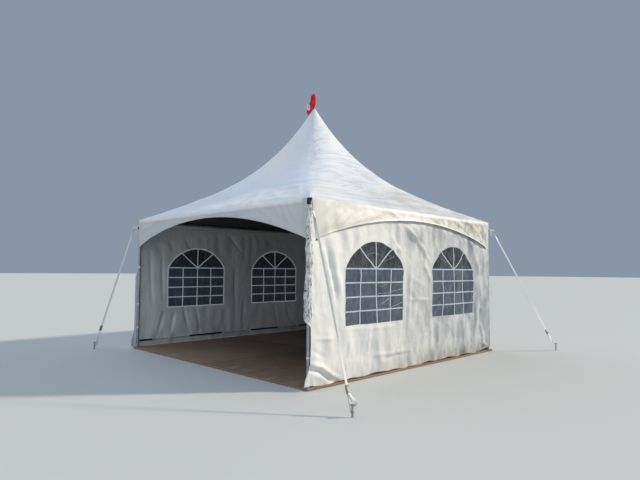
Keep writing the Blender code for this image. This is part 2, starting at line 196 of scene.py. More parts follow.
class Wire:
    """A shader socket. An expression on wires and numbers adds the Math nodes that work it out."""

    def __init__(self, paint, socket):
        self.paint = paint
        self.socket = socket

    def math(self, operation, *values):
        """One Math node on these values, in their order."""
        return self.paint.node("ShaderNodeMath", {"operation": operation}, dict(enumerate(values)))

    def __add__(self, other):
        return self.math("ADD", self, other)

    def __radd__(self, other):
        return self.math("ADD", other, self)

    def __sub__(self, other):
        return self.math("SUBTRACT", self, other)

    def __rsub__(self, other):
        return self.math("SUBTRACT", other, self)

    def __mul__(self, other):
        return self.math("MULTIPLY", self, other)

    def __rmul__(self, other):
        return self.math("MULTIPLY", other, self)

    def __abs__(self):
        return self.math("ABSOLUTE", self)


class Paint:
    """A procedural material under construction."""

    def __init__(self, name, **constants):
        self.material = bpy.data.materials.new(name)
        self.material.use_nodes = True
        self.tree = self.material.node_tree
        self.tree.nodes.clear()
        self.shader = self.tree.nodes.new("ShaderNodeBsdfPrincipled")
        self.finish(**constants)
        surface = Wire(self, self.shader.outputs["BSDF"])
        self.node("ShaderNodeOutputMaterial", {}, {"Surface": surface})

    def node(self, kind, settings, sockets, out=0):
        """Adds a node: its type, its settings first, then the values or links of its sockets."""
        made = self.tree.nodes.new(kind)
        for key, value in settings.items():
            setattr(made, key, value)
        for key, value in sockets.items():
            self.feed(made.inputs[key], value)
        return Wire(self, made.outputs[out]) if made.outputs else None

    def feed(self, socket, value):
        """Links a wire to a socket, or sets the socket's own value. A colour may be a code."""
        if isinstance(value, Wire):
            self.tree.links.new(value.socket, socket)
        elif isinstance(value, str):
            socket.default_value = (*linear(value), 1)
        elif socket.type == "RGBA" and len(value) == 3:
            socket.default_value = (*value, 1)
        else:
            socket.default_value = value

    def place(self, scale=(1, 1, 1), turn=(0, 0, 0), surface=False):
        """Object coordinates, or the piece's own UV map in metres, scaled and turned."""
        source = self.node("ShaderNodeTexCoord", {}, {}, out=2 if surface else 3)
        return self.node("ShaderNodeMapping", {}, {"Vector": source, "Scale": scale, "Rotation": turn})

    def noise(self, scale, detail=3, rough=0.55, stretch=(1, 1, 1), surface=False,
              turn=(0, 0, 0), distortion=0):
        """Cloudy noise, 0 to 1, with scale in clouds per metre."""
        return self.node("ShaderNodeTexNoise", {}, {
            "Vector": self.place(stretch, turn, surface), "Scale": scale, "Detail": detail,
            "Roughness": rough, "Distortion": distortion})

    def axis(self, letter, surface=False):
        """One coordinate of the place, in metres."""
        return self.node("ShaderNodeSeparateXYZ", {}, {"Vector": self.place(surface=surface)},
                         out="xyz".index(letter))

    def step(self, value, low, high):
        """0 where value is below low and 1 above high, with a soft turn."""
        return self.node("ShaderNodeMapRange", {"interpolation_type": "SMOOTHSTEP"}, {
            "Value": value, "From Min": low, "From Max": high})

    def mix(self, share, first, second):
        """Two colours mixed by a share."""
        return self.node("ShaderNodeMix", {"data_type": "RGBA"}, {0: share, 6: first, 7: second}, out=2)

    def finish(self, bump=None, **values):
        """Feeds the shader's sockets by their names, with bump as (height, distance)."""
        if bump:
            values["Normal"] = self.node("ShaderNodeBump", {}, {
                "Height": bump[0], "Distance": bump[1], "Strength": 1})
        for key, value in values.items():
            self.feed(self.shader.inputs[key.replace("_", " ")], value)
        return self.material


# Finishes


def canopy_cloth(settings):
    """White coated canopy cloth with rain runs, clouded dirt and fine wrinkles; a painted highlight along
    the eaves, a painted sky tint on the roof, and painted shade in the roof's folds, on the front face and
    in tree dapples on the right side.
    """
    paint = Paint("canopy cloth", Specular_IOR_Level=0.4, Sheen_Weight=0.08)
    east, north, height = (paint.axis(letter) for letter in "xyz")
    on_roof = paint.step(height, 2.53, 2.6)
    off_roof = 1 - on_roof
    on_right = paint.step(east, 2.3, 2.4)
    plain = 1 - on_right * (1 - paint.step(north, -2, -0.5)) * 0.9
    # The valances' far end: the right valance gets dirt and painted dappled tree shade there
    far = paint.step(north, -1.8, 1.5) * off_roof
    near = on_right * off_roof * (1 - paint.step(north, -1.5, -0.1))
    # The front face, painted bluish as shade on the side away from the main light
    painted_front_shade = (1 - paint.step(north, -2.45, -2.35)) * off_roof
    # The right roof's lower part, painted with dappled tree shade
    low = paint.step(east, 0.4, 2) * paint.step(north, -1.7, 0.4) * on_roof
    by_hip = abs(east) - abs(north)
    hips = (1 - paint.step(abs(by_hip), 0.04, 0.34)) * paint.step(height, 2.7, 3.3)
    turned = paint.step(by_hip, -0.25, 0.25)

    def both_ways(scale, rough, across, along, tall, distortion=0):
        """Noise with one stretch across the nearest eave and another along it."""
        ways = [paint.noise(scale, 3, rough, stretch=stretch, distortion=distortion)
                for stretch in ((across, along, tall), (along, across, tall))]
        return ways[0] * turned + ways[1] * (1 - turned)

    # Wrinkles that sweep along the eaves, pinches above them and notches in their edge
    sweep = both_ways(3.4, 0.5, 3.4, 0.42, 1.6, 0.5)
    pinch = (both_ways(6, 0.6, 0.25, 1.4, 0.25) * on_roof * (1 - paint.step(height, 2.56, 2.95)) * plain)
    notches = paint.noise(13, 3, 0.6, stretch=(1, 1, 0.35))
    # The band along the eave line, coloured below as a painted highlight
    eave = (1 - paint.step(abs(height - 2.532 + notches * 0.03), 0.006, 0.052)) * plain
    by_eave = (1 - paint.step(abs(height - 2.53), 0, 0.09)) * plain
    clouds = paint.noise(1.3, 5, 0.6)
    runs = paint.noise(2.4, 4, 0.6, stretch=(3.2, 3.2, 0.35))
    mottles = paint.step(paint.noise(9, 4, 0.6, stretch=(1, 1, 0.6)), 0.42, 0.62)
    soil_and_shade = paint.step(clouds * 0.6 + runs * 0.4, 0.44, 0.76) * (0.3 - on_roof * 0.18)
    soil_and_shade = soil_and_shade + paint.step(paint.noise(38, 3, 0.7), 0.6, 0.85) * 0.1 * off_roof
    # Dirt and painted dappled tree shade towards the right valance's far end
    soil_and_shade = soil_and_shade + far * (0.2 + mottles * 0.5) * on_right + near * 0.133
    # Painted dappled tree shade in clouds on the right roof's lower part
    soil_and_shade = soil_and_shade + low * paint.step(clouds, 0.3, 0.62) * 0.3
    # Painted shade in the roof's sweeping wrinkles
    soil_and_shade = soil_and_shade + paint.step(sweep, 0.46, 0.6) * turned * on_roof * 0.18
    # Painted sky light: the roof is tinted bluish in clouds
    painted_sky_tint = paint.mix(on_roof * paint.step(paint.noise(0.7, 2), 0.2, 0.6), settings.canopy_colour, "e6ebf2")
    colour = paint.mix(soil_and_shade, painted_sky_tint, settings.soil_and_shade_colour)
    # Painted shade: the front face is tinted blue-grey
    colour = paint.mix(painted_front_shade * 0.3, colour, "8186a0")
    # Painted highlight: a near-white band along the eaves
    colour = paint.mix(eave * 0.8, colour, "fbfbf9")
    depth = turned * (1 + paint.step(east, -0.2, 0.4) * 3.2) + 0.5
    relief = sweep * on_roof * depth + hips * 0.192 + paint.noise(55, 3, 0.6) * 0.035
    relief = relief + notches * by_eave * 2.2 + mottles * far * 0.2 + near * 0.666 + pinch * 3
    return paint.finish(Base_Color=colour, Roughness=0.44 + clouds * 0.2, bump=(relief, 0.01))


def shaded_lining_cloth(settings):
    """The canopy's inner face: the same cloth with a dull grey coat that keeps light out, darkened further
    as painted shade for the dim inside of the roof.
    """
    paint = Paint("canopy lining", Specular_IOR_Level=0.3)
    clouds = paint.noise(2.2, 4, 0.6)
    colour = paint.mix(paint.step(clouds, 0.4, 0.75) * 0.3, settings.shaded_lining_colour, "4d4b45")
    return paint.finish(Base_Color=colour, Roughness=0.6 + clouds * 0.2, bump=(clouds, 0.003))


def wall_cloth(settings):
    """Off-white coated wall cloth, creased, with splashed dirt along its foot and painted dappled tree
    shade on the right wall's far half.
    """
    paint = Paint("wall cloth", Specular_IOR_Level=0.4, Sheen_Weight=0.08)
    clouds = paint.noise(1.8, 5, 0.62)
    runs = paint.noise(3, 4, 0.6, stretch=(2.6, 2.6, 0.4))
    east, north, height = (paint.axis(letter) for letter in "xyz")
    foot = 1 - paint.step(height + paint.noise(5, 4, 0.6) * 0.3, 0.16, 0.52)
    specks = paint.step(paint.noise(60, 2, 0.6), 0.6, 0.8)
    # Painted dappled tree shade darkens the right wall's far half, bluish and mottled; the cloth along its
    # laced edge gets dark streaks
    painted_tree_shade = paint.step(north, -2.2, 1.9) * paint.step(east, 2.3, 2.45)
    laced = ((1 - paint.step(north, -2.445, -2.415)) * paint.step(east, 2.3, 2.4)
             * paint.step(height, 0.86, 0.98))
    streaks = paint.noise(30, 4, 0.65, stretch=(1.5, 1.5, 0.45), distortion=0.6)
    tree_shade_dapples = paint.step(paint.noise(4.2, 4, 0.6, stretch=(1, 1, 0.6)), 0.4, 0.6)
    soil_and_shade = paint.step(clouds * 0.5 + runs * 0.5, 0.46, 0.74) * (0.28 + painted_tree_shade * 0.2)
    soil_and_shade = soil_and_shade + painted_tree_shade * (0.4 + tree_shade_dapples * 0.36) + specks * 0.06
    soil_and_shade = soil_and_shade + foot * 0.24 + foot * specks * 0.3
    soil_and_shade = soil_and_shade + laced * (paint.step(streaks, 0.48, 0.57) * 0.8 + 0.02)
    base = paint.mix(paint.step(paint.noise(0.9, 3), 0.36, 0.64), settings.wall_colour, "e4e5e5")
    # The darker colour: bluish for the painted tree shade, grey-green dirt along the foot
    dirt = paint.mix(foot, paint.mix(painted_tree_shade, settings.soil_and_shade_colour, "868e98"), "85877a")
    colour = paint.mix(soil_and_shade, base, dirt)
    crumple = paint.noise(14, 4, 0.55, distortion=0.6)
    hanging = paint.noise(7, 3, 0.5, stretch=(1, 1, 0.3), distortion=0.8)
    return paint.finish(Base_Color=colour, Roughness=0.46 + runs * 0.2,
                        bump=(crumple * 0.45 + hanging * 1.1, 0.0065))


def binding_cloth(settings):
    """Welded white vinyl of the hems and the canopy's edges, with painted bluish shade on the front."""
    paint = Paint("binding vinyl", Specular_IOR_Level=0.5)
    clouds = paint.noise(9, 4, 0.6)
    colour = paint.mix(paint.step(clouds, 0.5, 0.8) * 0.25, settings.binding_colour, settings.soil_and_shade_colour)
    # Painted shade: the front binding is tinted blue-grey
    painted_front_shade = 1 - paint.step(paint.axis("y"), -2.45, -2.35)
    colour = paint.mix(painted_front_shade * 0.38, colour, "8186a0")
    weld = paint.noise(120, 2, 0.5) * 0.6 + clouds * 0.4
    return paint.finish(Base_Color=colour, Roughness=0.36 + clouds * 0.2, bump=(weld, 0.0008))


def bar_vinyl(settings, name, painted_glow):
    """Light vinyl of the window bars, a little dusty. Its inner face glows: painted light standing in for
    daylight through the vinyl.
    """
    paint = Paint(name, Specular_IOR_Level=0.5, Emission_Strength=painted_glow,
                  Emission_Color=(0.36, 0.39, 0.42, 1))
    clouds = paint.noise(7, 4, 0.6)
    colour = paint.mix(paint.step(clouds, 0.45, 0.8) * 0.35, settings.bar_colour, "9fa4a8")
    return paint.finish(Base_Color=colour, Roughness=0.34 + clouds * 0.25,
                        bump=(paint.noise(70, 3), 0.0008))


def window_film(settings):
    """Soft clear film, slightly clouded, with rolled creases that catch the light. Its dark tint is
    painted shade for the dim inside seen through it; the arch is painted darker still, and the film
    carries painted glints and reflection streaks.
    """
    paint = Paint("window film", Specular_IOR_Level=0.55, IOR=1.45)
    haze = paint.noise(3, 5, 0.65)
    grain = paint.noise(90, 2, 0.6)
    # The panes' colour is painted shade of the dim inside, clouded by haze
    low = paint.mix(paint.step(haze, 0.35, 0.75) * 0.5, settings.film_tint_and_shade_colour, "65717f")
    # Above the spring line the film is painted darker: painted shade and reflection
    arch = paint.step(paint.axis("z") + haze * 0.1, 1.6, 1.72)
    creases = paint.noise(5, 2, 0.5, stretch=(1, 1, 0.55), distortion=1.2)
    ridge = paint.step(1 - abs(creases - 0.5) * 9, 0.2, 1)
    reflection_streaks = paint.noise(26, 4, 0.7, stretch=(1, 1, 0.35), distortion=1)
    # Painted glints along the creases and painted reflection streaks in the arch
    colour = paint.mix(ridge * 0.1 + paint.step(reflection_streaks, 0.5, 0.78) * arch * 0.22,
                       paint.mix(arch, low, settings.arch_shade_colour), "aab2bb")
    return paint.finish(Base_Color=colour, Roughness=0.12 + haze * 0.16,
                        Alpha=0.84 + haze * 0.1 + grain * 0.02,
                        bump=(ridge * 0.6 + paint.noise(9, 3) * 0.4, 0.004))


def film_crease_glint(settings):
    """A painted glint: the light line of a sharp crease in the film."""
    paint = Paint("film crease", Specular_IOR_Level=0.55, IOR=1.45)
    worn = paint.noise(40, 3, 0.6)
    colour = paint.mix(paint.step(worn, 0.35, 0.65), settings.crease_glint_colour, settings.film_tint_and_shade_colour)
    return paint.finish(Base_Color=colour, Roughness=0.2 + worn * 0.2, bump=(worn, 0.0008))


def dull_metal(name, colour, worn, roughness, metallic, grain=(1, 1, 1)):
    """Metal with cloudy oxide, fine scratches and scuffed spots."""
    paint = Paint(name, Metallic=metallic)
    clouds = paint.noise(12, 5, 0.6)
    scratches = paint.noise(160, 3, 0.6, stretch=grain)
    base = paint.mix(paint.step(clouds * 0.6 + scratches * 0.4, 0.42, 0.68), colour, worn)
    return paint.finish(Base_Color=base, Roughness=roughness + scratches * 0.22,
                        bump=(scratches * 0.5 + clouds * 0.5, 0.0004))


def webbing(settings):
    """Polyester webbing with darker, thinner edges and worn dirt."""
    paint = Paint("strap webbing", Sheen_Weight=0.15)
    edge = paint.step(abs(paint.axis("y", surface=True)), 0.0135, 0.0165)
    dirt = paint.step(paint.noise(6, 4, 0.65), 0.42, 0.78) * 0.25
    colour = paint.mix(dirt, settings.webbing_colour, "9a9c92")
    colour = paint.mix(edge * 0.35, colour, "a9aba6")
    return paint.finish(Base_Color=colour, Roughness=0.62 + dirt * 0.3, bump=(1 - edge * 0.4, 0.0003))


def flag_cloth(name, colour, shade):
    """Thin flag cloth, faded in places."""
    paint = Paint(name, Sheen_Weight=0.2)
    fade = paint.noise(14, 4, 0.6)
    cloth = paint.mix(paint.step(fade, 0.35, 0.75), colour, shade)
    return paint.finish(Base_Color=cloth, Roughness=0.66 + fade * 0.2,
                        bump=(paint.noise(60, 3) * 0.5, 0.0006))


def board_film(settings):
    """Brown film-faced plywood: pale scuffs, dried mud and a tone for each board."""
    paint = Paint("board film", Specular_IOR_Level=0.35)
    tone = paint.node("ShaderNodeAttribute", {"attribute_name": "tone"}, {}, out=2)
    clouds = paint.noise(1.1, 5, 0.65)
    mud = paint.noise(4.5, 6, 0.7)
    grain = paint.noise(16, 4, 0.6, stretch=(0.12, 1, 1), surface=True)
    grit = paint.noise(180, 2, 0.6)
    scuff = paint.step(paint.noise(9, 5, 0.75, stretch=(0.35, 1.6, 1), surface=True,
                                   turn=(0, 0, 0.6)), 0.56, 0.74)
    colour = paint.mix(tone * 0.6, settings.board_colour, "6b5546")
    colour = paint.mix(paint.step(grain, 0.35, 0.7) * 0.35, colour, "574437")
    colour = paint.mix(paint.step(mud * 0.7 + clouds * 0.3, 0.48, 0.72) * 0.55, colour, "a89886")
    colour = paint.mix(scuff * 0.3, colour, "b5a898")
    return paint.finish(Base_Color=colour, Roughness=0.52 + mud * 0.3,
                        bump=(grain * 0.4 + grit * 0.2 + mud * 0.4, 0.001))


def board_edge(settings):
    """The boards' raw edge, pinkish where fresh and grey with mud."""
    paint = Paint("board edge", Specular_IOR_Level=0.3)
    fibres = paint.noise(30, 5, 0.7, stretch=(1, 1, 6))
    raw = paint.mix(0.407, settings.edge_colour, "7c5b48")
    colour = paint.mix(paint.step(fibres, 0.5, 0.75) * 0.6, raw, "6a6257")
    return paint.finish(Base_Color=colour, Roughness=0.72 + fibres * 0.2, bump=(fibres * 0.5, 0.001))


# The metals: full name, colour, worn colour, roughness, metallic share and the grain's stretch
METALS = {
    "aluminium": ("mill aluminium", "b6babf", "8e949b", 0.3, 0.8, (1, 1, 0.05)),
    "black": ("black painted steel", "1d1d1e", "3a3937", 0.38, 0.2),
    "galvanised": ("galvanised steel", "a7abae", "7d8286", 0.34, 0.85),
    "buckle": ("zinc buckle", "868d84", "5f655f", 0.42, 0.5),
    "eyelet": ("dulled brass eyelet", "77705c", "4c483e", 0.32, 0.8),
    "dark_bar": ("dark bar in the wall's pocket", "35373a", "222325", 0.4, 0.4),
}


@functools.cache
def finish_named(name):
    """A finish by its short name, made once from the scene's settings."""
    scene = bpy.context.scene
    cloth, windows, fittings = scene.tent_cloth, scene.tent_windows, scene.tent_fittings
    if name in METALS:
        return dull_metal(*METALS[name])
    if name == "cord":
        return Paint("lacing cord", Sheen_Weight=0.1, Base_Color="e2e2dc", Roughness=0.75).material
    makers = {
        "canopy": (canopy_cloth, cloth),
        "lining": (shaded_lining_cloth, cloth),
        "wall": (wall_cloth, cloth),
        "binding": (binding_cloth, cloth),
        "bars": (bar_vinyl, windows, "window bar vinyl", 0),
        # The inner face glows a little: painted light for daylight through the vinyl
        "inner_bars": (bar_vinyl, windows, "window bar inner face", 0.38),
        "film": (window_film, windows),
        "crease": (film_crease_glint, windows),
        "webbing": (webbing, fittings),
        "flag": (flag_cloth, "flag cloth", fittings.flag_colour, "c4182c"),
        "flag_band": (flag_cloth, "flag band", "efe9e4", "d8cfcb"),
        "board": (board_film, fittings),
        "board_edge": (board_edge, fittings),
    }
    maker, *values = makers[name]
    return maker(*values)


# Mesh kit


def mapped_grid(bm, columns, rows, place, chart, surface=0, kept=None):
    """A grid whose corners go where place(u, v) says, with its UV map from chart(u, v).

    kept(u, v) says whether the face whose middle is there stays.
    """
    made = bmesh.ops.create_grid(bm, x_segments=columns, y_segments=rows, size=0.5)["verts"]
    if kept:
        faces = dict.fromkeys(face for vert in made for face in vert.link_faces)
        dropped = [face for face in faces
                   if not kept(*(face.calc_center_median() + Vector((0.5, 0.5, 0)))[:2])]
        bmesh.ops.delete(bm, geom=dropped, context="FACES")
        made = [vert for vert in made if vert.is_valid]
    shares = {vert: (vert.co.x + 0.5, vert.co.y + 0.5) for vert in made}
    layer = bm.loops.layers.uv.verify()
    for face in dict.fromkeys(face for vert in made for face in vert.link_faces):
        face.material_index = surface
        for loop in face.loops:
            loop[layer].uv = chart(*shares[loop.vert])
    for vert, (u, v) in shares.items():
        vert.co = place(u, v)
    return made


def path_lengths(points):
    """How far along its path each point is."""
    lengths = [0]
    for first, second in zip(points, points[1:]):
        lengths.append(lengths[-1] + (second - first).length)
    return lengths


def run_and_side(points, index):
    """The run of a path at one of its points, and a level direction square to it."""
    before, after = points[max(index - 1, 0)], points[min(index + 1, len(points) - 1)]
    run = (after - before).normalized()
    side = run.cross(UP)
    if side.length < 1e-3:
        side = run.cross(Vector((1, 0, 0)))
    return run, side.normalized()


def tube(bm, points, radius, sides=8, closed=False, surface=0):
    """A round cord or rod along a path. A closed path ends where it starts."""
    points = [Vector(p) for p in points]
    lengths = path_lengths(points)
    count = len(points) - 1
    frames = []
    side = run_and_side(points, 0)[1]
    for index in range(len(points)):
        if closed:
            run = (points[(index + 1) % count] - points[(index - 1) % count]).normalized()
        else:
            run = run_and_side(points, index)[0]
        side = (side - run * side.dot(run)).normalized()
        frames.append((side, side.cross(run)))

    def place(u, v):
        index = round(u * count)
        if closed and index == count:
            index = 0
        out, up = frames[index]
        angle = 2 * math.pi * v
        return points[index] + (out * math.cos(angle) + up * math.sin(angle)) * radius

    def chart(u, v):
        return lengths[round(u * count)], v * 2 * math.pi * radius

    made = mapped_grid(bm, count, sides, place, chart, surface)
    bmesh.ops.remove_doubles(bm, verts=made, dist=1e-6)
    if not closed:
        rims = [edge for edge in bm.edges if edge.is_boundary
                and min((edge.verts[0].co - end).length for end in (points[0], points[-1])) < radius * 1.2]
        for face in bmesh.ops.holes_fill(bm, edges=rims, sides=sides)["faces"]:
            face.material_index = surface


def strap(bm, points, width, across=None):
    """A flat strip along a path. across gives the strip's own sideways direction."""
    points = [Vector(p) for p in points]
    lengths = path_lengths(points)
    count = len(points) - 1

    def place(u, v):
        index = round(u * count)
        side = across(index) if callable(across) else (across or run_and_side(points, index)[1])
        return points[index] + side * (v - 0.5) * width

    def chart(u, v):
        return lengths[round(u * count)], (v - 0.5) * width

    mapped_grid(bm, count, 2, place, chart)


def made_since(bm, before):
    """The faces that a mesh has gained, and their corners."""
    faces = [face for face in bm.faces if face not in before]
    return faces, list(dict.fromkeys(vert for face in faces for vert in face.verts))


def lathe(bm, profile, steps=24, base=Matrix(), surface=0):
    """A turned form: a profile of (radius, height) spun about Z, then put in place."""
    verts = [bm.verts.new((radius, 0, height)) for radius, height in profile]
    edges = [bm.edges.new(pair) for pair in zip(verts, verts[1:])]
    before = set(bm.faces)
    bmesh.ops.spin(bm, geom=verts + edges, cent=(0, 0, 0), axis=(0, 0, 1), dvec=(0, 0, 0),
                   angle=2 * math.pi, steps=steps, use_merge=True, use_duplicate=False)
    bmesh.ops.remove_doubles(bm, verts=made_since(bm, before)[1], dist=1e-6)
    faces, made = made_since(bm, before)
    bmesh.ops.recalc_face_normals(bm, faces=faces)
    for face in faces:
        face.material_index = surface
    bmesh.ops.transform(bm, matrix=base, verts=made)


def block(bm, low, high, bevel=0, base=Matrix()):
    """A box between two corners with bevelled edges, put in place by a matrix."""
    low, high = Vector(low), Vector(high)
    before = set(bm.faces)
    made = bmesh.ops.create_cube(bm, size=1)["verts"]
    for vert in made:
        vert.co = Vector((low[i] + (vert.co[i] + 0.5) * (high[i] - low[i]) for i in range(3)))
    if bevel:
        edges = list(dict.fromkeys(edge for vert in made for edge in vert.link_edges))
        bmesh.ops.bevel(bm, geom=edges, offset=bevel, offset_type="OFFSET", segments=2,
                        profile=0.5, affect="EDGES", material=-1)
        made = made_since(bm, before)[1]
    bmesh.ops.transform(bm, matrix=base, verts=made)
    return made


def placed(at, side, up, out):
    """A matrix that puts a form at a place with its own X, Y and Z along three directions."""
    return Matrix.Translation(Vector(at)) @ Matrix((side, up, out)).transposed().to_4x4()


def facing(at, out):
    """A matrix that puts a form at a place with its own Z along out."""
    out = Vector(out).normalized()
    side = UP.cross(out)
    if side.length < 1e-3:
        side = Vector((1, 0, 0)).cross(out)
    side.normalize()
    return placed(at, side, out.cross(side), out)


def turned_points(bm, verts, degrees):
    """Turns part of a mesh about the tent's middle."""
    bmesh.ops.transform(bm, matrix=Matrix.Rotation(math.radians(degrees), 4, "Z"), verts=list(verts))


def add_piece(name, bm, finishes, replaces=(), thickness=0, offset=-1, sharp_angle=None):
    """Makes a piece from a mesh: smooth shading, finishes, thickness and body."""
    for face in bm.faces:
        face.smooth = True
    for edge in bm.edges:
        if edge.is_boundary:
            edge.smooth = False
        elif sharp_angle and edge.is_manifold:
            edge.smooth = edge.calc_face_angle(0) < math.radians(sharp_angle)
    mesh = bpy.data.meshes.new(name)
    bm.to_mesh(mesh)
    bm.free()
    piece = bpy.data.objects.new(name, mesh)
    bpy.context.scene.collection.objects.link(piece)
    for finish in finishes:
        mesh.materials.append(finish_named(finish))
    if thickness:
        modifier = piece.modifiers.new("Thickness", "SOLIDIFY")
        modifier.thickness = thickness
        modifier.offset = offset
    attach(piece, "root")
    if replaces:
        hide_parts(*replaces)
    return piece


def fold(point, path, width, height):
    """One long soft ridge along a path of a flat pattern, lower at its ends."""
    nearest, place, gone = width * 3, None, 0
    for start, end in zip(path, path[1:]):
        run = (end[0] - start[0], end[1] - start[1])
        away = (point[0] - start[0], point[1] - start[1])
        length = math.hypot(*run)
        share = min(max((away[0] * run[0] + away[1] * run[1]) / length ** 2, 0), 1)
        gap = math.hypot(away[0] - share * run[0], away[1] - share * run[1])
        if gap < nearest:
            nearest, place = gap, gone + share * length
        gone += length
    if place is None:
        return 0
    ends = smooth_step(0, 0.25, place / gone) * (1 - smooth_step(0.72, 1, place / gone))
    return height * (0.25 + 0.75 * ends) * math.exp(-(nearest / width) ** 2)


def folded(point, folds):
    """The height of several folds here, each a path's points, then its width and height."""
    return sum(fold(point, path, width, height) for *path, width, height in folds)


def crumple(x, y, seed, scale):
    """Smooth seeded noise, about -0.5 to 0.5."""
    return noise.noise(Vector((x * scale + seed * 7.31, y * scale - seed * 3.17, seed * 1.7)))


# Canopy


FIRST_LEVEL = PEAK_HOLE_RADIUS * math.sqrt(2) / (2 * HALF)
SLOT_ACROSS = 1 - VALANCE_SLOT / HALF
CANOPY_COLUMNS = 148
ROOF_ROWS = 54
EAVE_ROWS = 11
EAVE_LEVEL = 0.94
VALANCE_ROWS = 11

# A panel's tension folds in plan: points as (along the eave, out from the middle), width, height.
# They leave the hip level with the eave, then turn down towards the far corner.
SWEPT_FOLDS = [
    ((-0.52, 0.51), (-0.29, 0.51), (-0.1, 0.57), (0.07, 0.61), 0.03, 0.5),
    ((-0.56, 0.63), (-0.3, 0.63), (0.02, 0.7), (0.24, 0.8), 0.034, 0.55),
    ((-0.67, 0.79), (-0.34, 0.76), (-0.06, 0.8), (0.32, 0.95), 0.038, 0.85),
    ((-0.87, 1.03), (-0.33, 0.99), (-0.07, 1.07), (0.27, 1.15), 0.042, 0.75),
    ((-0.8, 1.16), (-0.36, 1.21), (-0.14, 1.32), (-0.02, 1.52), 0.042, 0.75),
    ((-1.15, 1.32), (-0.7, 1.4), (-0.3, 1.56), (0.1, 1.9), 0.048, 0.65),
    ((-1.35, 1.49), (-0.96, 1.52), (-0.63, 1.63), (-0.4, 1.78), (-0.3, 2.05), 0.046, 0.85),
    ((0.3, 1), (0.42, 1.28), (0.66, 1.46), (0.84, 1.69), 0.046, 0.65),
    ((-1.33, 1.93), (-0.97, 2.04), (-0.6, 2.11), (-0.32, 2.26), 0.05, 0.7),
    ((0.1, 1.5), (0.36, 1.85), (0.95, 1.96), (1.73, 1.97), 0.05, 0.75),
    ((-2.08, 2.2), (-1.78, 2.26), (-1.33, 2.38), 0.05, 0.6),
    ((0.84, 1.74), (1.32, 1.89), (1.7, 2.09), (2.21, 2.27), 0.048, 0.7),
    ((0.34, 2.14), (0.99, 2.31), (1.76, 2.34), 0.05, 0.55),
]
ROOF_FOLDS = {
    "right": SWEPT_FOLDS,
    "back": [(*[(-along, out + 0.03) for along, out in path], width, height * 0.85)
             for *path, width, height in SWEPT_FOLDS[1::2]],
    "left": [(*[(along * 0.94, out) for along, out in path], width, height * 0.8)
             for *path, width, height in SWEPT_FOLDS[::2]],
    "front": [
        ((1.13, 1.2), (0.49, 1.13), (-0.3, 1.05), (-0.81, 1.11), 0.048, 0.14),
        ((1.46, 1.51), (0.92, 1.51), (0.33, 1.55), 0.048, 0.18),
        ((1.7, 1.78), (1.2, 1.74), (0.6, 1.8), 0.048, 0.16),
        ((0.16, 0.41), (-0.34, 0.58), (-0.62, 0.76), 0.04, 0.12),
        ((2.1, 2.32), (1.62, 1.86), (1.19, 1.6), 0.044, 0.18),
        ((1.88, 2.45), (1.26, 2.05), (0.79, 1.72), 0.046, 0.18),
        ((1.15, 2.44), (0.71, 1.95), (0.42, 1.6), 0.05, 0.16),
        ((-0.91, 2.4), (-1.2, 2), (-1.42, 1.62), 0.05, 0.16),
        ((-1.9, 2.45), (-1.5, 2.05), (-1.2, 1.6), 0.05, 0.18),
    ],
}
# Creases of a valance: points as (along the eave, drop below it), width, height
VALANCE_FOLDS = {
    "right": [
        ((-2.29, 0.46), (-1.83, 0.1), 0.034, 1), ((-2.38, 0.3), (-2.12, 0.05), 0.03, 0.8),
        ((-2.04, 0.38), (-1.67, 0.13), 0.036, 0.9), ((-1.86, 0.35), (-1.21, 0.09), 0.04, 0.8),
        ((-1.53, 0.27), (-0.96, 0.07), 0.036, 0.6), ((1.57, 0.02), (2.06, 0.24), 0.036, 0.9),
        ((1.03, 0.03), (1.52, 0.17), 0.034, 0.7), ((2.12, 0.03), (2.38, 0.34), 0.034, 0.9),
        ((-0.77, 0.04), (-0.5, 0.14), 0.032, 0.5), ((0.3, 0.03), (0.62, 0.13), 0.032, 0.5),
        ((1.85, 0.05), (2.24, 0.36), 0.032, -0.7),
    ],
    "front": [
        ((1.9, 0.02), (2.14, 0.33), 0.034, 1), ((1.74, 0.01), (1.96, 0.24), 0.032, 0.8),
        ((2.06, 0.03), (2.31, 0.38), 0.034, 0.9), ((2.24, 0.04), (2.4, 0.46), 0.03, 0.8),
        ((-2.4, 0.28), (-2, 0.1), 0.034, 0.9), ((-2.15, 0.2), (-1.66, 0.06), 0.032, 0.7),
        ((-2.42, 0.44), (-2.2, 0.16), 0.03, 0.8), ((1.35, 0.02), (1.62, 0.16), 0.032, 0.6),
    ],
}
VALANCE_FOLDS["back"] = [(*[(-along, drop) for along, drop in path], width, height * 0.8)
                         for *path, width, height in VALANCE_FOLDS["right"]]
VALANCE_FOLDS["left"] = [(*[(-along, drop) for along, drop in path], width, height * 0.9)
                         for *path, width, height in VALANCE_FOLDS["front"]]
# How far a valance's lower edge stands out, and how far its ends slant back, at its two ends
VALANCE_STANDS = {"front": (0.014, 0.012), "right": (0.04, 0.036),
                  "back": (0.014, 0.018), "left": (0.018, 0.014)}
VALANCE_SLANTS = {"front": (0.05, 0.012), "right": (0.115, 0.05),
                  "back": (0.05, 0.055), "left": (0.055, 0.05)}


def roof_height(level):
    """Height of the roof's middle line and hips, from level 0 at the peak to 1 at the eave."""
    fall = 1 - level
    curve = HIP_STRAIGHT * fall + (1 - HIP_STRAIGHT) * fall ** HIP_POWER
    return EAVE_HEIGHT + ROOF_RISE * curve


def roof_point(level, across):
    """A point of the plain roof panel that faces +X, across from -1 to 1 between its hips."""
    half = level * HALF
    roundness = 0.5 * (1 - level) ** ROUND_POWER
    out = half
    if roundness > 1e-4:
        out = half * (2 / (1 + abs(across) ** (1 / roundness))) ** roundness
    return Vector((out, across * out, roof_height(level)))


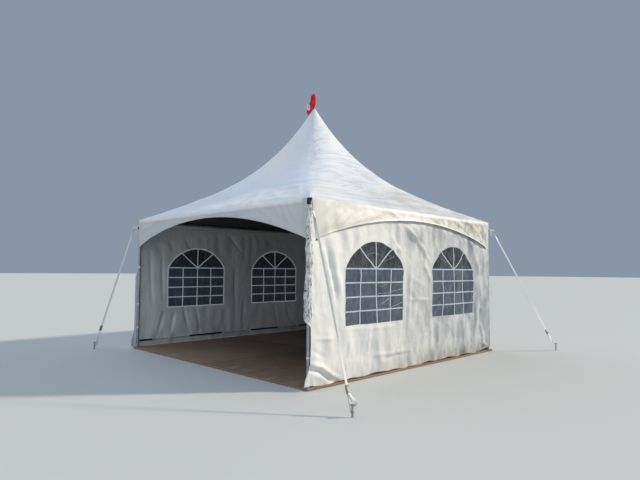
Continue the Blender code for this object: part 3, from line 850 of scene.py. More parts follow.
def valance_drop(side, along):
    """How far the valance's arched lower edge hangs below the eave."""
    half = HALF - VALANCE_SLOT
    rise = VALANCE_CORNER_DROP - VALANCE_DROPS[side]
    radius = (half * half + rise * rise) / (2 * rise)
    reach = min(abs(along), half)
    return VALANCE_DROPS[side] + radius - math.sqrt(radius * radius - reach * reach)


def eave_pulls(side):
    """Where the canopy is pulled down to its beam, along the eave."""
    if side == "front":
        return [-2.2, -1.86, -1.5, -1.18, -0.79, -0.62, -0.25, 0.04, 0.5, 0.8, 1.02, 1.23,
                1.54, 1.72, 1.92, 2.11, 2.31]
    draw = random.Random(f"pulls {side}")
    return [-2.25 + 0.3 * step + draw.uniform(-0.07, 0.07) for step in range(16)]


EAVE_PULLS = {side: eave_pulls(side) for side in SIDES}


def pull_at(side, along):
    """How strongly the eave is pulled in here, 0 to 1."""
    return sum(math.exp(-((along - place) / 0.036) ** 2) * (0.6 + 0.4 * math.sin(place * 9))
               for place in EAVE_PULLS[side])


def freedom(side, along, from_corner):
    """How far the cloth is free to roll over its beam, from 0 beside a corner to 1."""
    free = smooth_step(0.22, 0.4, from_corner)
    return free * smooth_step(-2.2, -0.8, along) if side == "right" else free


def canopy_point(side, across, reach, proud=0):
    """The canopy's outer face on the panel that faces +X.

    reach runs from 0 at the peak to 1 at the eave and 2 at the valance's lower edge. proud
    lifts the point off the cloth.
    """
    settings = bpy.context.scene.tent_cloth
    seed = list(SIDES).index(side) + 1
    if reach <= 1:
        point = roof_point(reach, across)
        half = reach * HALF
        along = across * half
        slope = ROOF_RISE / HALF * (HIP_STRAIGHT + (1 - HIP_STRAIGHT) * HIP_POWER
                                    * (1 - reach) ** (HIP_POWER - 1))
        normal = Vector((slope, 0, 1)).normalized()
        calm = smooth_step(0, 0.07, (1 - abs(across)) * half)
        calm *= smooth_step(0.1, 0.3, reach)
        lift = folded((along, half), ROOF_FOLDS[side]) * settings.roof_fold
        lift += crumple(along, half, seed, 1.7) * 0.012
        swept = (along * 2.6, half * 9) if side in ("right", "left") else (along * 3.2, half * 7)
        lift += crumple(*swept, seed, 1) * 0.0075 * smooth_step(0.15, 0.4, reach)
        lift += crumple(along, half, seed + 9, 11) * 0.0022
        # The cloth dips inside the beam, and rolls over it in a raised, notched edge
        below = (1 - reach) * HALF
        pull = pull_at(side, along)
        lift += (0.55 - pull) * math.exp(-below / 0.07) * settings.eave_pucker
        lift -= (0.013 - 0.004 * pull) * math.exp(-((below - 0.1) / 0.055) ** 2)
        free = freedom(side, along, (1 - abs(across)) * half)
        lift = max(lift * calm, -0.001 - 0.03 * max(free, smooth_step(0.1, 0.2, below)))
        rolled = Vector((0.012 * free * math.exp(-below / 0.018), 0, 0))
        return point + normal * (lift + proud) - rolled
    share = reach - 1
    along = across * HALF
    ends = (abs(along) / HALF) ** 9
    along -= math.copysign(VALANCE_SLANTS[side][along > 0], along) * ends * share
    drop = valance_drop(side, across * HALF) * share
    low, high = VALANCE_STANDS[side]
    stand = low + (high - low) * (across + 1) / 2
    from_corner = (1 - abs(across)) * HALF
    free = freedom(side, along, from_corner)
    loose = smooth_step(0.05, 0.34, from_corner)
    stand = stand * loose - 0.0035 * (1 - loose)
    out = HALF + stand * share ** 1.3 + proud - 0.012 * free * math.exp(-drop / 0.018)
    lift = folded((along, drop), VALANCE_FOLDS[side]) * (0.032 if side == "right" else 0.021)
    lift += crumple(along, drop, seed + 20, 3) * 0.016 * share
    lift += crumple(along, drop, seed + 21, 9) * 0.007 * min(share * 4, 1)
    calm = smooth_step(0, 0.1, from_corner)
    calm = calm + (1 - calm) * smooth_step(0, 0.3, share)
    pull = (0.55 - pull_at(side, along)) * math.exp(-drop / 0.055)
    lift += pull * settings.eave_pucker * 0.8
    lift = max(lift * calm * (0.2 + 0.8 * loose), -0.001 - 0.003 * loose - stand * share ** 1.3)
    return Vector((out + lift, along, EAVE_HEIGHT - drop))


def canopy_rows():
    """The reaches of the canopy's rows, closer together at the peak and above the eave."""
    roof = [FIRST_LEVEL + (EAVE_LEVEL - FIRST_LEVEL) * (row / ROOF_ROWS) ** 1.04
            for row in range(ROOF_ROWS)]
    roof += [EAVE_LEVEL + (1 - EAVE_LEVEL) * row / EAVE_ROWS for row in range(EAVE_ROWS + 1)]
    skirt = [1 + row / VALANCE_ROWS for row in range(1, VALANCE_ROWS + 1)]
    return roof + [1.015, 1.035, 1.06] + skirt


def canopy_columns():
    """Across positions, closer near the hips, with one at each side of the corner slots."""
    inner = CANOPY_COLUMNS - 2
    even = [2 * step / inner - 1 for step in range(inner + 1)]
    middle = [SLOT_ACROSS * (t + 0.35 * math.sin(math.pi * t) / math.pi) for t in even]
    return [-1] + middle + [1]


def build_canopy():
    """One continuous sheet: four curved panels that run over the eaves into valances."""
    rows, columns = canopy_rows(), canopy_columns()
    last = len(rows) - 1
    bm = bmesh.new()

    def chart(u, v):
        return columns[round(u * CANOPY_COLUMNS)] * HALF, rows[round(v * last)] * HALF * 1.1

    def kept(u, v):
        column = min(int(u * CANOPY_COLUMNS), CANOPY_COLUMNS - 1)
        middle = abs(columns[column] + columns[column + 1]) / 2
        return rows[min(int(v * last), last - 1)] < 0.9999 or middle < SLOT_ACROSS

    for side, turn in SIDES.items():
        def place(u, v):
            return canopy_point(side, columns[round(u * CANOPY_COLUMNS)], rows[round(v * last)])

        turned_points(bm, mapped_grid(bm, CANOPY_COLUMNS, last, place, chart, kept=kept), turn)
    bmesh.ops.remove_doubles(bm, verts=bm.verts, dist=2e-4)
    bmesh.ops.reverse_faces(bm, faces=bm.faces)
    nodes = [f"{kind}_{side}" for kind in ("roof_panel", "valance") for side in SIDES]
    # The inner face is dark grey: painted shade under the roof
    canopy = add_piece("canopy", bm, ["canopy", "lining"], nodes, thickness=FABRIC)
    canopy.modifiers["Thickness"].material_offset = 1
    return canopy


def build_valance_bindings():
    """A folded vinyl binding round each valance's arched edge and its two ends."""
    bm = bmesh.new()
    height = 0.024
    for side, turn in SIDES.items():
        def low_edge(u, v):
            across = (2 * u - 1) * SLOT_ACROSS
            drop = valance_drop(side, across * HALF)
            return canopy_point(side, across, 2 + 0.002 / drop - v * height / drop, 0.0012)

        def end_edge(sign):
            def place(u, v):
                inset = (1 - v if sign > 0 else v) * height / HALF
                across = sign * (SLOT_ACROSS + 0.0006 - inset)
                return canopy_point(side, across, 1.02 + 0.98 * u, 0.0014)
            return place

        made = mapped_grid(bm, CANOPY_COLUMNS, 2, low_edge, lambda u, v: (u * 4.9, v * height))
        for sign in (-1, 1):
            made += mapped_grid(bm, 14, 2, end_edge(sign), lambda u, v: (u * 0.5, v * height))
        turned_points(bm, made, turn)
    return add_piece("valance_bindings", bm, ["binding"], thickness=FABRIC + 0.0028)


def build_hip_tapes():
    """Welded tapes over the four hip seams."""
    bm = bmesh.new()
    width = 0.026
    for side, turn in SIDES.items():
        for sign in (-1, 1):
            def place(u, v):
                reach = FIRST_LEVEL + 0.012 + (0.996 - FIRST_LEVEL - 0.012) * u
                inset = (1 - v if sign > 0 else v) * min(width / (reach * HALF), 0.45)
                return canopy_point(side, sign * (1 - inset), reach, 0.0011)

            made = mapped_grid(bm, 60, 2, place, lambda u, v: (u * 4, v * width))
            turned_points(bm, made, turn)
    bmesh.ops.remove_doubles(bm, verts=bm.verts, dist=4e-4)
    return add_piece("canopy_hip_tapes", bm, ["canopy"], thickness=0.001)


class TENT_OT_canopy(bpy.types.Operator):
    """Add the canopy, with its valances, bindings and hip tapes"""

    bl_idname = "tent.add_canopy"
    bl_label = "Canopy"

    def execute(self, context):
        canopy = build_canopy()
        bindings = build_valance_bindings()
        tapes = build_hip_tapes()
        return {"FINISHED"}


# Walls and windows


WALL_CELL = 0.022
CORNER_ROUND = WALL_OUTER - FRAME_HALF
ARCH_RISE = WINDOW_TOP - WINDOW_SPRING
ARCH_RADIUS = (WINDOW_HALF ** 2 + ARCH_RISE ** 2) / (2 * ARCH_RISE)
ARCH_CENTRE = WINDOW_TOP - ARCH_RADIUS
# Cloth past the two corner legs of each wall, at its low end and its high end along the wall
WALL_ENDS = {"right": (0.133, 0.115), "back": (-0.006, -0.006), "left": (0.115, 0.12)}

# A wall's hanging folds: both ends as (along, height), width, height share
WALL_FOLDS = {
    "right": [
        ((-0.39, 2.34), (0.38, 1.71), 0.045, 1.1), ((-0.24, 2.18), (0.42, 1.82), 0.035, 0.6),
        ((-0.28, 2.36), (0.48, 1.72), 0.04, -0.6), ((-2.1, 1.98), (-1.85, 1.15), 0.06, 0.95),
        ((-2.25, 1.94), (-2.01, 1.05), 0.032, 0.6), ((-2.18, 1.96), (-1.93, 1.1), 0.03, -0.6),
        ((-1.42, 2.14), (-1.64, 1.86), 0.035, 0.55), ((-0.21, 1.66), (-0.29, 0.67), 0.038, 0.65),
        ((-0.13, 1.5), (-0.2, 0.8), 0.032, -0.45), ((0.21, 1.08), (0.25, 0.45), 0.036, 0.5),
        ((-0.71, 2.12), (-0.46, 1.82), 0.035, 0.55), ((-0.39, 1.12), (0.37, 1.08), 0.022, 0.35),
        ((0.18, 1.66), (0.34, 1.38), 0.045, 0.8), ((1.1, 0.68), (1.12, 0.03), 0.04, 0.5),
        ((1.43, 0.66), (1.47, 0.07), 0.04, 0.55), ((1.99, 1.29), (1.81, 0.18), 0.045, 0.55),
        ((2.12, 0.17), (2.42, 0.03), 0.03, 0.8), ((2, 0.12), (2.3, 0.26), 0.028, -0.45),
        ((-1.26, 0.32), (-0.22, 0.29), 0.026, 0.55), ((-0.91, 0.23), (-0.29, 0.26), 0.024, -0.4),
        ((0.17, 0.47), (0.41, 0.59), 0.026, 0.45), ((-2.34, 0.66), (-1.98, 0.63), 0.024, 0.55),
        ((-1.68, 0.63), (-1.7, 0.37), 0.03, 0.5), ((-1.26, 0.75), (-1.28, 0.36), 0.03, 0.5),
        ((-2.56, 0.275), (-2.29, 0.225), (-2.12, 0.095), (-1.92, 0.02), 0.018, -0.85),
        ((-2.52, 0.34), (-2.26, 0.285), (-2.06, 0.15), (-1.84, 0.06), 0.026, 1.4),
        ((-2.42, 0.17), (-2.24, 0.13), (-2.14, 0.05), 0.034, 0.6),
        ((-2.44, 0.52), (-2.18, 0.4), 0.03, -0.5), ((1.95, 1.95), (2.12, 1), 0.05, 0.6),
        ((2.25, 1.9), (2.33, 0.7), 0.045, 0.55), ((-1.8, 0.74), (-0.45, 0.7), 0.022, 0.3),
        ((1.3, 2.24), (1.42, 2.06), 0.034, 0.6), ((1.72, 2.16), (2.02, 1.55), 0.04, 0.7),
        ((2.06, 0.62), (2.2, 0.12), 0.036, 0.7), ((0.62, 0.7), (0.55, 0.2), 0.036, 0.5),
    ],
    "left": [
        ((1.87, 0.72), (2, 0.24), 0.034, 0.8), ((1.63, 0.69), (1.71, 0.26), 0.034, 0.8),
        ((1.42, 0.73), (1.29, 0.29), 0.034, 0.8), ((1.11, 0.71), (1.04, 0.35), 0.034, 0.7),
        ((1.43, 2.23), (1.27, 2.02), 0.034, 0.6), ((1.76, 2.16), (1.69, 1.98), 0.034, 0.5),
        ((0.34, 2.43), (-0.1, 1.94), 0.04, 0.7), ((2.21, 1.93), (2.15, 0.84), 0.036, 0.6),
        ((1.95, 1.89), (1.9, 0.83), 0.034, 0.5), ((0.1, 1.55), (0.06, 0.6), 0.045, 0.7),
        ((-0.2, 0.95), (-0.12, 0.3), 0.04, 0.55), ((-1.1, 0.7), (-1.2, 0.2), 0.036, 0.6),
        ((-1.5, 0.72), (-1.62, 0.22), 0.036, 0.55), ((-2.2, 1.6), (-2.12, 0.5), 0.045, 0.5),
    ],
    "back": [
        ((-2.2, 1.9), (-2.06, 0.8), 0.045, 0.7), ((2.15, 1.95), (2.05, 0.7), 0.045, 0.7),
        ((-0.32, 2.35), (0.3, 1.75), 0.045, 0.9), ((0.05, 1.5), (-0.05, 0.55), 0.045, 0.6),
        ((1.5, 0.72), (1.62, 0.2), 0.036, 0.6), ((1.1, 0.71), (1.02, 0.3), 0.034, 0.6),
        ((-1.1, 0.72), (-1.22, 0.24), 0.036, 0.6), ((-1.55, 0.7), (-1.45, 0.22), 0.034, 0.5),
        ((-2.36, 0.3), (-2.02, 0.1), 0.03, 0.7), ((0.35, 0.6), (0.62, 0.2), 0.034, 0.5),
    ],
}


def corner_end(side, sign, height):
    """How far the cloth turns round the corner leg here, 0 to 1, and how much of it shows."""
    if side == "right" and sign < 0:
        wrapped = smooth_step(0.84, 0.94, height)
        free = 0.004 + 0.108 * (1 - smooth_step(0.02, 0.4, height))
        laced = 0.12 - 0.03 * smooth_step(1.1, 1.65, height)
        return wrapped, (free + (laced - free) * smooth_step(0.8, 0.96, height)) / 0.133
    if side == "left" and sign > 0:
        free = 0.058 + 0.062 * (1 - smooth_step(0.08, 0.4, height))
        return 0.04, free * (1 - smooth_step(1.4, 1.6, height)) / 0.12
    return 1, 1


def wall_lift(side, along, height):
    """How far the hanging cloth stands out of its plane."""
    settings = bpy.context.scene.tent_cloth
    seed = 40 + WALLS.index(side)
    taut = 1 if side == "right" else 0.62
    belly = math.sin(math.pi * min(max(height / WALL_TOP, 0), 1))
    lift = crumple(along, height * 0.55, seed, 1.9) * 0.026 * (0.35 + belly)
    lift += crumple(along, height * 0.5, seed + 4, 5.5) * 0.019
    sharp = 0.5 - abs(crumple(along, height * 0.6, seed + 8, 4.2)) * 2.6
    lift += max(sharp, 0) * 0.012
    lift += crumple(along, height, seed + 12, 15) * 0.0042
    # Folds that hang from the eave, and from the windows' sills
    gathers = math.sin(along * 21 + 7 * crumple(along, 0, seed + 20, 1.3))
    lift += gathers * 0.011 * smooth_step(1.6, 2.1, height)
    hanging = smooth_step(0.12, 0.35, height) * (1 - smooth_step(0.62, 0.78, height))
    sway = along * 17 + height * 2 + 9 * crumple(along, 0, seed + 24, 1.1)
    lift += math.sin(sway) * 0.0105 * hanging
    lift = lift * taut + folded((along, height), WALL_FOLDS[side]) * settings.wall_fold
    lift += settings.billow * belly * math.cos(math.pi * along / 5.6) ** 2
    foot = 1 - smooth_step(0.1, 0.55, height)
    lift += crumple(along * 1.3, height * 0.6, seed + 16, 7) * 0.018 * foot
    covered = smooth_step(-0.12, 0, height - (EAVE_HEIGHT - valance_drop(side, along)))
    lift = lift * (1 - covered) - 0.0055 * covered
    held = smooth_step(0, 0.22, FRAME_HALF - along)
    if side != "right":
        held *= smooth_step(0, 0.22, FRAME_HALF + along)
    lift *= 0.12 + 0.88 * held
    leg = 1 - smooth_step(0.05, 0.2, FRAME_HALF - abs(along))
    lowest = -0.055 + 0.049 * leg
    return max(lift, lowest)


def wall_point(side, along, height, proud=0):
    """The wall's outer face on the side that faces +X, at a place of its flat pattern."""
    sign = -1 if along < 0 else 1
    over = abs(along) - FRAME_HALF
    ragged = 1 - smooth_step(0, 0.3, height - WALL_BOTTOM)
    rise = 0.003
    if side == "right":
        rise = 0.01 + crumple(along, 0, 60, 3.1) * 0.03 + 0.05 * smooth_step(2, 2.4, along)
    height_now = height + max(rise, 0) * ragged
    lift = wall_lift(side, along, height) + proud
    if side == "right" and sign < 0 and over > -0.09:
        # The laced edge is gathered in small pleats, on the wall's face and round the leg
        pleat = crumple(over * 32, height * 5, 71, 1) * 0.018
        pleat += crumple(over * 14, height * 19, 72, 1) * 0.012
        gathered = smooth_step(-0.085, -0.035, over) * smooth_step(0.88, 1.02, height)
        gathered *= 1 - 0.7 * smooth_step(2.15, 2.35, height)
        lift += max(pleat + 0.002, -0.003) * gathered
    if over <= 0:
        return Vector((WALL_OUTER + lift, along, height_now))
    turn, shown = corner_end(side, sign, height)
    over *= shown
    round_now = CORNER_ROUND + 0.0045 * smooth_step(0, 0.06, over)
    arc = round_now * turn * math.pi / 2
    if over < arc:
        angle, straight = over / round_now, 0
    else:
        angle, straight = turn * math.pi / 2, over - arc
    pucker = crumple(over * 2, height, 71, 11) * 0.0035
    stand = round_now + lift + max(pucker, -0.003) * smooth_step(0, 0.03, over)
    out = stand * math.cos(angle) - straight * math.sin(angle)
    beside = stand * math.sin(angle) + straight * math.cos(angle)
    return Vector((FRAME_HALF + out, sign * (FRAME_HALF + beside), height_now))


def window_outline(middle, grow=0):
    """The window's outline on the wall's flat pattern, anticlockwise, as (along, height)."""
    half, radius = WINDOW_HALF + grow, ARCH_RADIUS + grow
    spring = math.asin(min(half / radius, 1))
    points = [(-half, WINDOW_SILL - grow), (half, WINDOW_SILL - grow)]
    for step in range(21):
        angle = spring * (1 - step / 10)
        points.append((radius * math.sin(angle), ARCH_CENTRE + radius * math.cos(angle)))
    return [(middle + x, z) for x, z in points]


def in_window(along, height):
    """Whether a place of the flat pattern is inside one of the wall's two windows."""
    for middle in (-WINDOW_OFFSET, WINDOW_OFFSET):
        across = abs(along - middle)
        if across < WINDOW_HALF and WINDOW_SILL < height:
            if height <= WINDOW_SPRING:
                return True
            if across ** 2 + (height - ARCH_CENTRE) ** 2 < ARCH_RADIUS ** 2:
                return True
    return False


def near_segment(place, start, end, reach):
    """Whether a place of the flat pattern is within reach of a segment."""
    if not min(start[0], end[0]) - reach < place.x < max(start[0], end[0]) + reach:
        return False
    if not min(start[1], end[1]) - reach < place.y < max(start[1], end[1]) + reach:
        return False
    run = Vector((end[0] - start[0], end[1] - start[1]))
    away = Vector((place.x - start[0], place.y - start[1]))
    share = min(max(away.dot(run) / run.length_squared, 0), 1)
    return (away - run * share).length < reach


def wall_columns(side):
    """Where the pattern's columns stand along the wall, closer together at the corner legs."""
    inner = FRAME_HALF - 0.09
    steps = round(2 * inner / WALL_CELL)
    places = [-inner + 2 * inner * step / steps for step in range(steps + 1)]
    low, high = (end + 0.09 for end in WALL_ENDS[side])
    before, after = (max(round(end / 0.007), 1) for end in (low, high))
    return ([-inner - low * (before - step) / before for step in range(before)] + places
            + [inner + high * (step + 1) / after for step in range(after)])


def cut_pattern(side):
    """The wall's flat pattern as a fine grid, cut along its windows' outlines."""
    bm = bmesh.new()
    columns = wall_columns(side)
    last = len(columns) - 1
    rows = round((WALL_TOP - WALL_BOTTOM) / WALL_CELL)

    def place(u, v):
        return Vector((columns[round(u * last)], WALL_BOTTOM + (WALL_TOP - WALL_BOTTOM) * v, 0))

    mapped_grid(bm, last, rows, place, lambda u, v: tuple(place(u, v))[:2])
    for middle in (-WINDOW_OFFSET, WINDOW_OFFSET):
        outline = window_outline(middle)
        for first, second in zip(outline, outline[1:] + outline[:1]):
            faces = [face for face in bm.faces
                     if near_segment(face.calc_center_median(), first, second, 1.5 * WALL_CELL)]
            edges = list(dict.fromkeys(edge for face in faces for edge in face.edges))
            verts = list(dict.fromkeys(vert for face in faces for vert in face.verts))
            bmesh.ops.bisect_plane(
                bm, geom=verts + edges + faces, dist=1e-5, plane_co=(*first, 0),
                plane_no=(first[1] - second[1], second[0] - first[0], 0))
    return bm


def kept_part(pattern, side, inside, proud):
    """A copy of the cut pattern, its window faces or the rest, hung in place."""
    bm = pattern.copy()
    dropped = []
    for face in bm.faces:
        along, height = face.calc_center_median()[:2]
        bared = side == "right" and along < -FRAME_HALF - 0.004 and height > 2.455
        if bared or in_window(along, height) != inside:
            dropped.append(face)
    bmesh.ops.delete(bm, geom=dropped, context="FACES")
    for vert in bm.verts:
        vert.co = wall_point(side, vert.co.x, vert.co.y, proud)
    turned_points(bm, bm.verts, SIDES[side])
    return bm


def spaced(points, spacing):
    """The same path with a point about every spacing."""
    path = [Vector(points[0])]
    for first, second in zip(points, points[1:]):
        first, second = Vector(first), Vector(second)
        steps = max(round((second - first).length / spacing), 1)
        path += [first.lerp(second, step / steps) for step in range(1, steps + 1)]
    return path


def wall_strip(bm, side, points, width, proud, closed=False, surface=0):
    """A welded strip along a path of the wall's flat pattern, following its folds."""
    path = spaced(list(points) + ([points[0]] if closed else []), 0.024)
    count = len(path) - 1
    normals = []
    for index in range(count + 1):
        if closed:
            before, after = path[(index - 1) % count], path[(index + 1) % count]
        else:
            before, after = path[max(index - 1, 0)], path[min(index + 1, count)]
        here = path[index]
        first = (here - before) if (here - before).length > 1e-6 else (after - here)
        second = (after - here) if (after - here).length > 1e-6 else first
        first, second = first.normalized(), second.normalized()
        middle = (first + second).normalized()
        miter = 1 / max(middle.dot(first), 0.5)
        normals.append(Vector((-middle.y, middle.x)) * miter)

    def place(u, v):
        index = round(u * count)
        spot = path[index] + normals[index] * (v - 0.5) * width
        return wall_point(side, spot.x, spot.y, proud)

    made = mapped_grid(bm, count, 2, place, lambda u, v: (u * count * 0.024, (v - 0.5) * width), surface)
    turned_points(bm, made, SIDES[side])


def window_bar_paths(middle):
    """The window's bars, then its sunburst, each as two ends on the flat pattern."""
    pane = (WINDOW_SPRING - WINDOW_SILL) / 4
    upright = [((middle + x, WINDOW_SILL), (middle + x, WINDOW_SPRING)) for x in (-0.35, 0, 0.35)]
    level = [((middle - WINDOW_HALF, WINDOW_SILL + pane * row),
              (middle + WINDOW_HALF, WINDOW_SILL + pane * row)) for row in (1, 2, 3, 4)]
    rays = [((middle, WINDOW_SPRING), (middle + x, WINDOW_SPRING + rise))
            for x, rise in ((0, ARCH_RISE), (-0.39, 0.31), (0.39, 0.31))]
    return upright, level, rays


# Sharp creases in each wall's film, drawn as painted glints, as points on the flat pattern and a width
FILM_CREASES = {
    "right": [
        ((-1.007, 1.069), (-0.912, 1.097), (-0.793, 1.142), 0.018),
        ((-1.068, 1.228), (-0.835, 1.236), (-0.621, 1.266), (-0.43, 1.288), 0.009),
        ((-1.008, 1.328), (-0.87, 1.364), (-0.8, 1.4), 0.007),
        ((-0.73, 1.014), (-0.585, 1.039), (-0.437, 1.072), 0.008),
        ((-1.335, 1.785), (-1.225, 1.834), (-1.076, 1.827), (-0.957, 1.777), 0.006),
        ((-1.008, 1.69), (-0.835, 1.736), (-0.656, 1.805), 0.006),
        ((0.763, 1.296), (0.854, 1.24), (0.89, 1.194), 0.009),
        ((0.64, 1.808), (0.768, 1.765), (0.953, 1.718), 0.008),
    ],
    "back": [((-0.93, 1.12), (-0.82, 1.16), (-0.7, 1.24), 0.006),
             ((0.8, 1.35), (0.93, 1.33), (1.12, 1.38), 0.005)],
    "left": [((0.76, 1.19), (0.9, 1.24), (1.02, 1.25), 0.005),
             ((-1.3, 1.42), (-1.16, 1.4), (-0.98, 1.44), 0.005)],
}


def build_wall(side):
    """One wall with its windows: cloth, film, borders and bars."""
    windows = bpy.context.scene.tent_windows
    pattern = cut_pattern(side)
    wall = add_piece(f"wall_cloth_{side}", kept_part(pattern, side, False, 0), ["wall"],
                     [f"wall_{side}"], thickness=FABRIC)
    film = kept_part(pattern, side, True, -0.0008)
    pattern.free()
    # Each crease is a light strip: a painted glint
    for *points, width in FILM_CREASES[side]:
        path = [(point.x, point.y) for point in smooth_path([(*p, 0) for p in points], 4)]
        wall_strip(film, side, path, width, 0.0004, surface=1)
    film = add_piece(f"window_film_{side}", film, ["film", "crease"],
                     [f"window_{side}_1", f"window_{side}_2"], thickness=FILM)
    borders = bmesh.new()
    bars = bmesh.new()
    for middle in (-WINDOW_OFFSET, WINDOW_OFFSET):
        wall_strip(borders, side, window_outline(middle), windows.border_width, 0.0011, closed=True)
        for group, proud in zip(window_bar_paths(middle), (0.0006, 0.0011, 0.0008)):
            for ends in group:
                wall_strip(bars, side, ends, windows.bar_width, proud)
    # The inner faces of borders and bars glow: painted light
    borders = add_piece(f"window_borders_{side}", borders, ["wall", "inner_bars"],
                        thickness=FABRIC + 0.0022)
    bars = add_piece(f"window_bars_{side}", bars, ["bars", "inner_bars"], thickness=0.0044)
    for piece in (borders, bars):
        piece.modifiers["Thickness"].material_offset = 1
    return wall, film, borders, bars


# Openings of the foot pocket where its dark bar shows, along each wall
POCKET_SLOTS = {
    "right": [(-2.3, -2), (-1.2, -0.4), (0.45, 1.25)],
    "back": [(-2.25, -1.95), (-1.2, -0.4), (0.45, 1.25), (1.95, 2.25)],
    "left": [(2.13, 2.41), (0.44, 1.28), (-1.23, -0.39), (-2.2, -1.9)],
}


def build_pocket(side):
    """The pocket inside a wall's foot, with the bar that holds it down."""
    bm = bmesh.new()
    reach = FRAME_HALF - 0.06

    def place(u, v):
        along = (2 * u - 1) * reach
        height = 0.031 + 0.14 * v
        swell = 0.011 * math.exp(-((height - 0.14) / 0.02) ** 2)
        return wall_point(side, along, height, -FABRIC - 0.0014 - swell)

    def kept(u, v):
        along = (2 * u - 1) * reach
        open_here = any(low < along < high for low, high in POCKET_SLOTS[side])
        return not (open_here and 0.62 < v < 0.96)

    made = mapped_grid(bm, 200, 16, place, lambda u, v: (u * 4.8, v * 0.125), kept=kept)
    turned_points(bm, made, SIDES[side])
    bmesh.ops.reverse_faces(bm, faces=bm.faces)
    pocket = add_piece(f"wall_pocket_{side}", bm, ["wall"], thickness=0.0012)
    bm = bmesh.new()
    start = -1.6 if side == "right" else -reach
    path = [wall_point(side, start + (reach - start) * step / 90, 0.14, -FABRIC - 0.008)
            for step in range(91)]
    tube(bm, path, 0.0055, 8)
    for low, high in POCKET_SLOTS[side]:
        if low < start:
            continue

        # A dark strip behind the bar in each opening: painted shade for the pocket's dim inside
        def lining(u, v):
            return wall_point(side, low + (high - low) * u, 0.122 + 0.044 * v, -FABRIC - 0.001)

        mapped_grid(bm, round((high - low) / 0.022), 2, lining, lambda u, v: (u * (high - low), v * 0.044))
    turned_points(bm, bm.verts, SIDES[side])
    bar = add_piece(f"wall_foot_bar_{side}", bm, ["dark_bar"], sharp_angle=50)
    return pocket, bar


class TENT_OT_walls(bpy.types.Operator):
    """Add the three walls, with their windows and foot pockets"""

    bl_idname = "tent.add_walls"
    bl_label = "Walls and Windows"

    def execute(self, context):
        for side in WALLS:
            wall, film, borders, bars = build_wall(side)
            pocket, bar = build_pocket(side)
        return {"FINISHED"}


# Straps and hardware


def corner_point(corner):
    """The leg's middle line at a corner, on the ground."""
    turn = Matrix.Rotation(math.radians(CORNERS[corner]), 3, "Z")
    return turn @ Vector((FRAME_HALF, FRAME_HALF, 0))


def guy_line(corner):
    """A guy's lug and stake, the strap's two ends, and its run, side and face directions."""
    ground, offset = corner_point(corner), Vector((*STAKES[corner], 0))
    outward = offset.normalized()
    stake = ground * (HALF / FRAME_HALF) + offset
    lug = ground + outward * GUY_LUG_LENGTH
    lug.z = LUG_HEIGHT
    low = Vector((stake.x, stake.y, STRAP_LOW_HEIGHT))
    run = (low - lug).normalized()
    level = Vector((run.x, run.y, 0)).normalized()
    low -= level * (STAKE_RADIUS + GAP + STRAP_THICKNESS / 2 * abs(run.z))
    run = (low - lug).normalized()
    side = run.cross(UP).normalized()
    face = side.cross(run)
    if face.z < 0:
        face.negate()
    return stake, lug, low, run, side, face


def ring_path(centre, first, second, radius, steps=24, tall=1):
    """A closed ring in the plane of two directions."""
    return [centre + first * (radius * math.cos(2 * math.pi * step / steps))
            + second * (radius * tall * math.sin(2 * math.pi * step / steps)) for step in range(steps + 1)]


# How far each guy's tensioner sits above its stake, along the strap
GUY_TENSIONERS = {"front_right": 0.24, "back_right": 0.36, "back_left": 0.34, "front_left": 0.36}
# How far each strap is twisted, in degrees: below its lug, halfway and at its tensioner
GUY_TURNS = {"front_right": (-112, -106, -16), "back_right": (72, 74, 56),
             "back_left": (34, 34, 20), "front_left": (-64, -76, -66)}
# How each loose tail lies: points as (down the strap from the tensioner, sideways, off the face)
GUY_TAILS = {
    "front_right": [(0.03, 0, 0.012), (0.06, -0.006, 0.018), (0.1, -0.024, 0.028),
                    (0.135, -0.048, 0.032), (0.162, -0.058, 0.02), (0.18, -0.048, 0.004),
                    (0.19, -0.03, -0.006)],
    "back_right": [(0.03, 0, 0.012), (0.12, 0.022, 0.014), (0.2, 0.062, -0.004),
                   (0.27, 0.098, -0.03), (0.32, 0.112, -0.052)],
    "back_left": [(0.03, 0, 0.012), (0.12, -0.018, 0.018), (0.19, -0.045, 0.006),
                  (0.25, -0.07, -0.02), (0.285, -0.078, -0.04)],
    "front_left": [(0.03, 0, 0.012), (0.12, -0.022, 0.014), (0.2, -0.052, -0.004),
                   (0.27, -0.086, -0.026), (0.315, -0.098, -0.048)],
}


def smooth_path(points, steps=6):
    """A smooth curve through the points."""
    points = [Vector(p) for p in points]
    path = []
    for index in range(len(points) - 1):
        before = points[max(index - 1, 0)]
        first, second = points[index], points[index + 1]
        after = points[min(index + 2, len(points) - 1)]
        for step in range(steps):
            t = step / steps
            path.append(0.5 * (2 * first + (second - before) * t
                               + (2 * before - 5 * first + 4 * second - after) * t * t
                               + (3 * first - before - 3 * second + after) * t ** 3))
    return path + [points[-1]]


def loop_path(near, run, face, length, radius):
    """A flat strap's eye: down one layer, round a bar at near, and back along the other."""
    angles = [math.pi * step / 10 for step in range(11)]
    ends = [(length, 0.0019), (radius * 2.4, 0.003)]
    return ([near + run * back + face * off for back, off in ends]
            + [near + face * (radius * math.cos(a)) - run * (radius * math.sin(a)) for a in angles]
            + [near + run * back - face * off for back, off in reversed(ends)])


def stitches(bm, centre, run, side, face, length, width):
    """A box of sewn thread, raised on a strap's face."""
    corners = ((-1, -1), (1, -1), (1, 1), (-1, 1), (-1, -1), (1, 1), (1, -1), (-1, 1))
    path = [centre + run * (along * length / 2) + side * (across * width / 2) + face * 0.0022
            for along, across in corners]
    tube(bm, spaced(path, 0.008), 0.0006, 5)


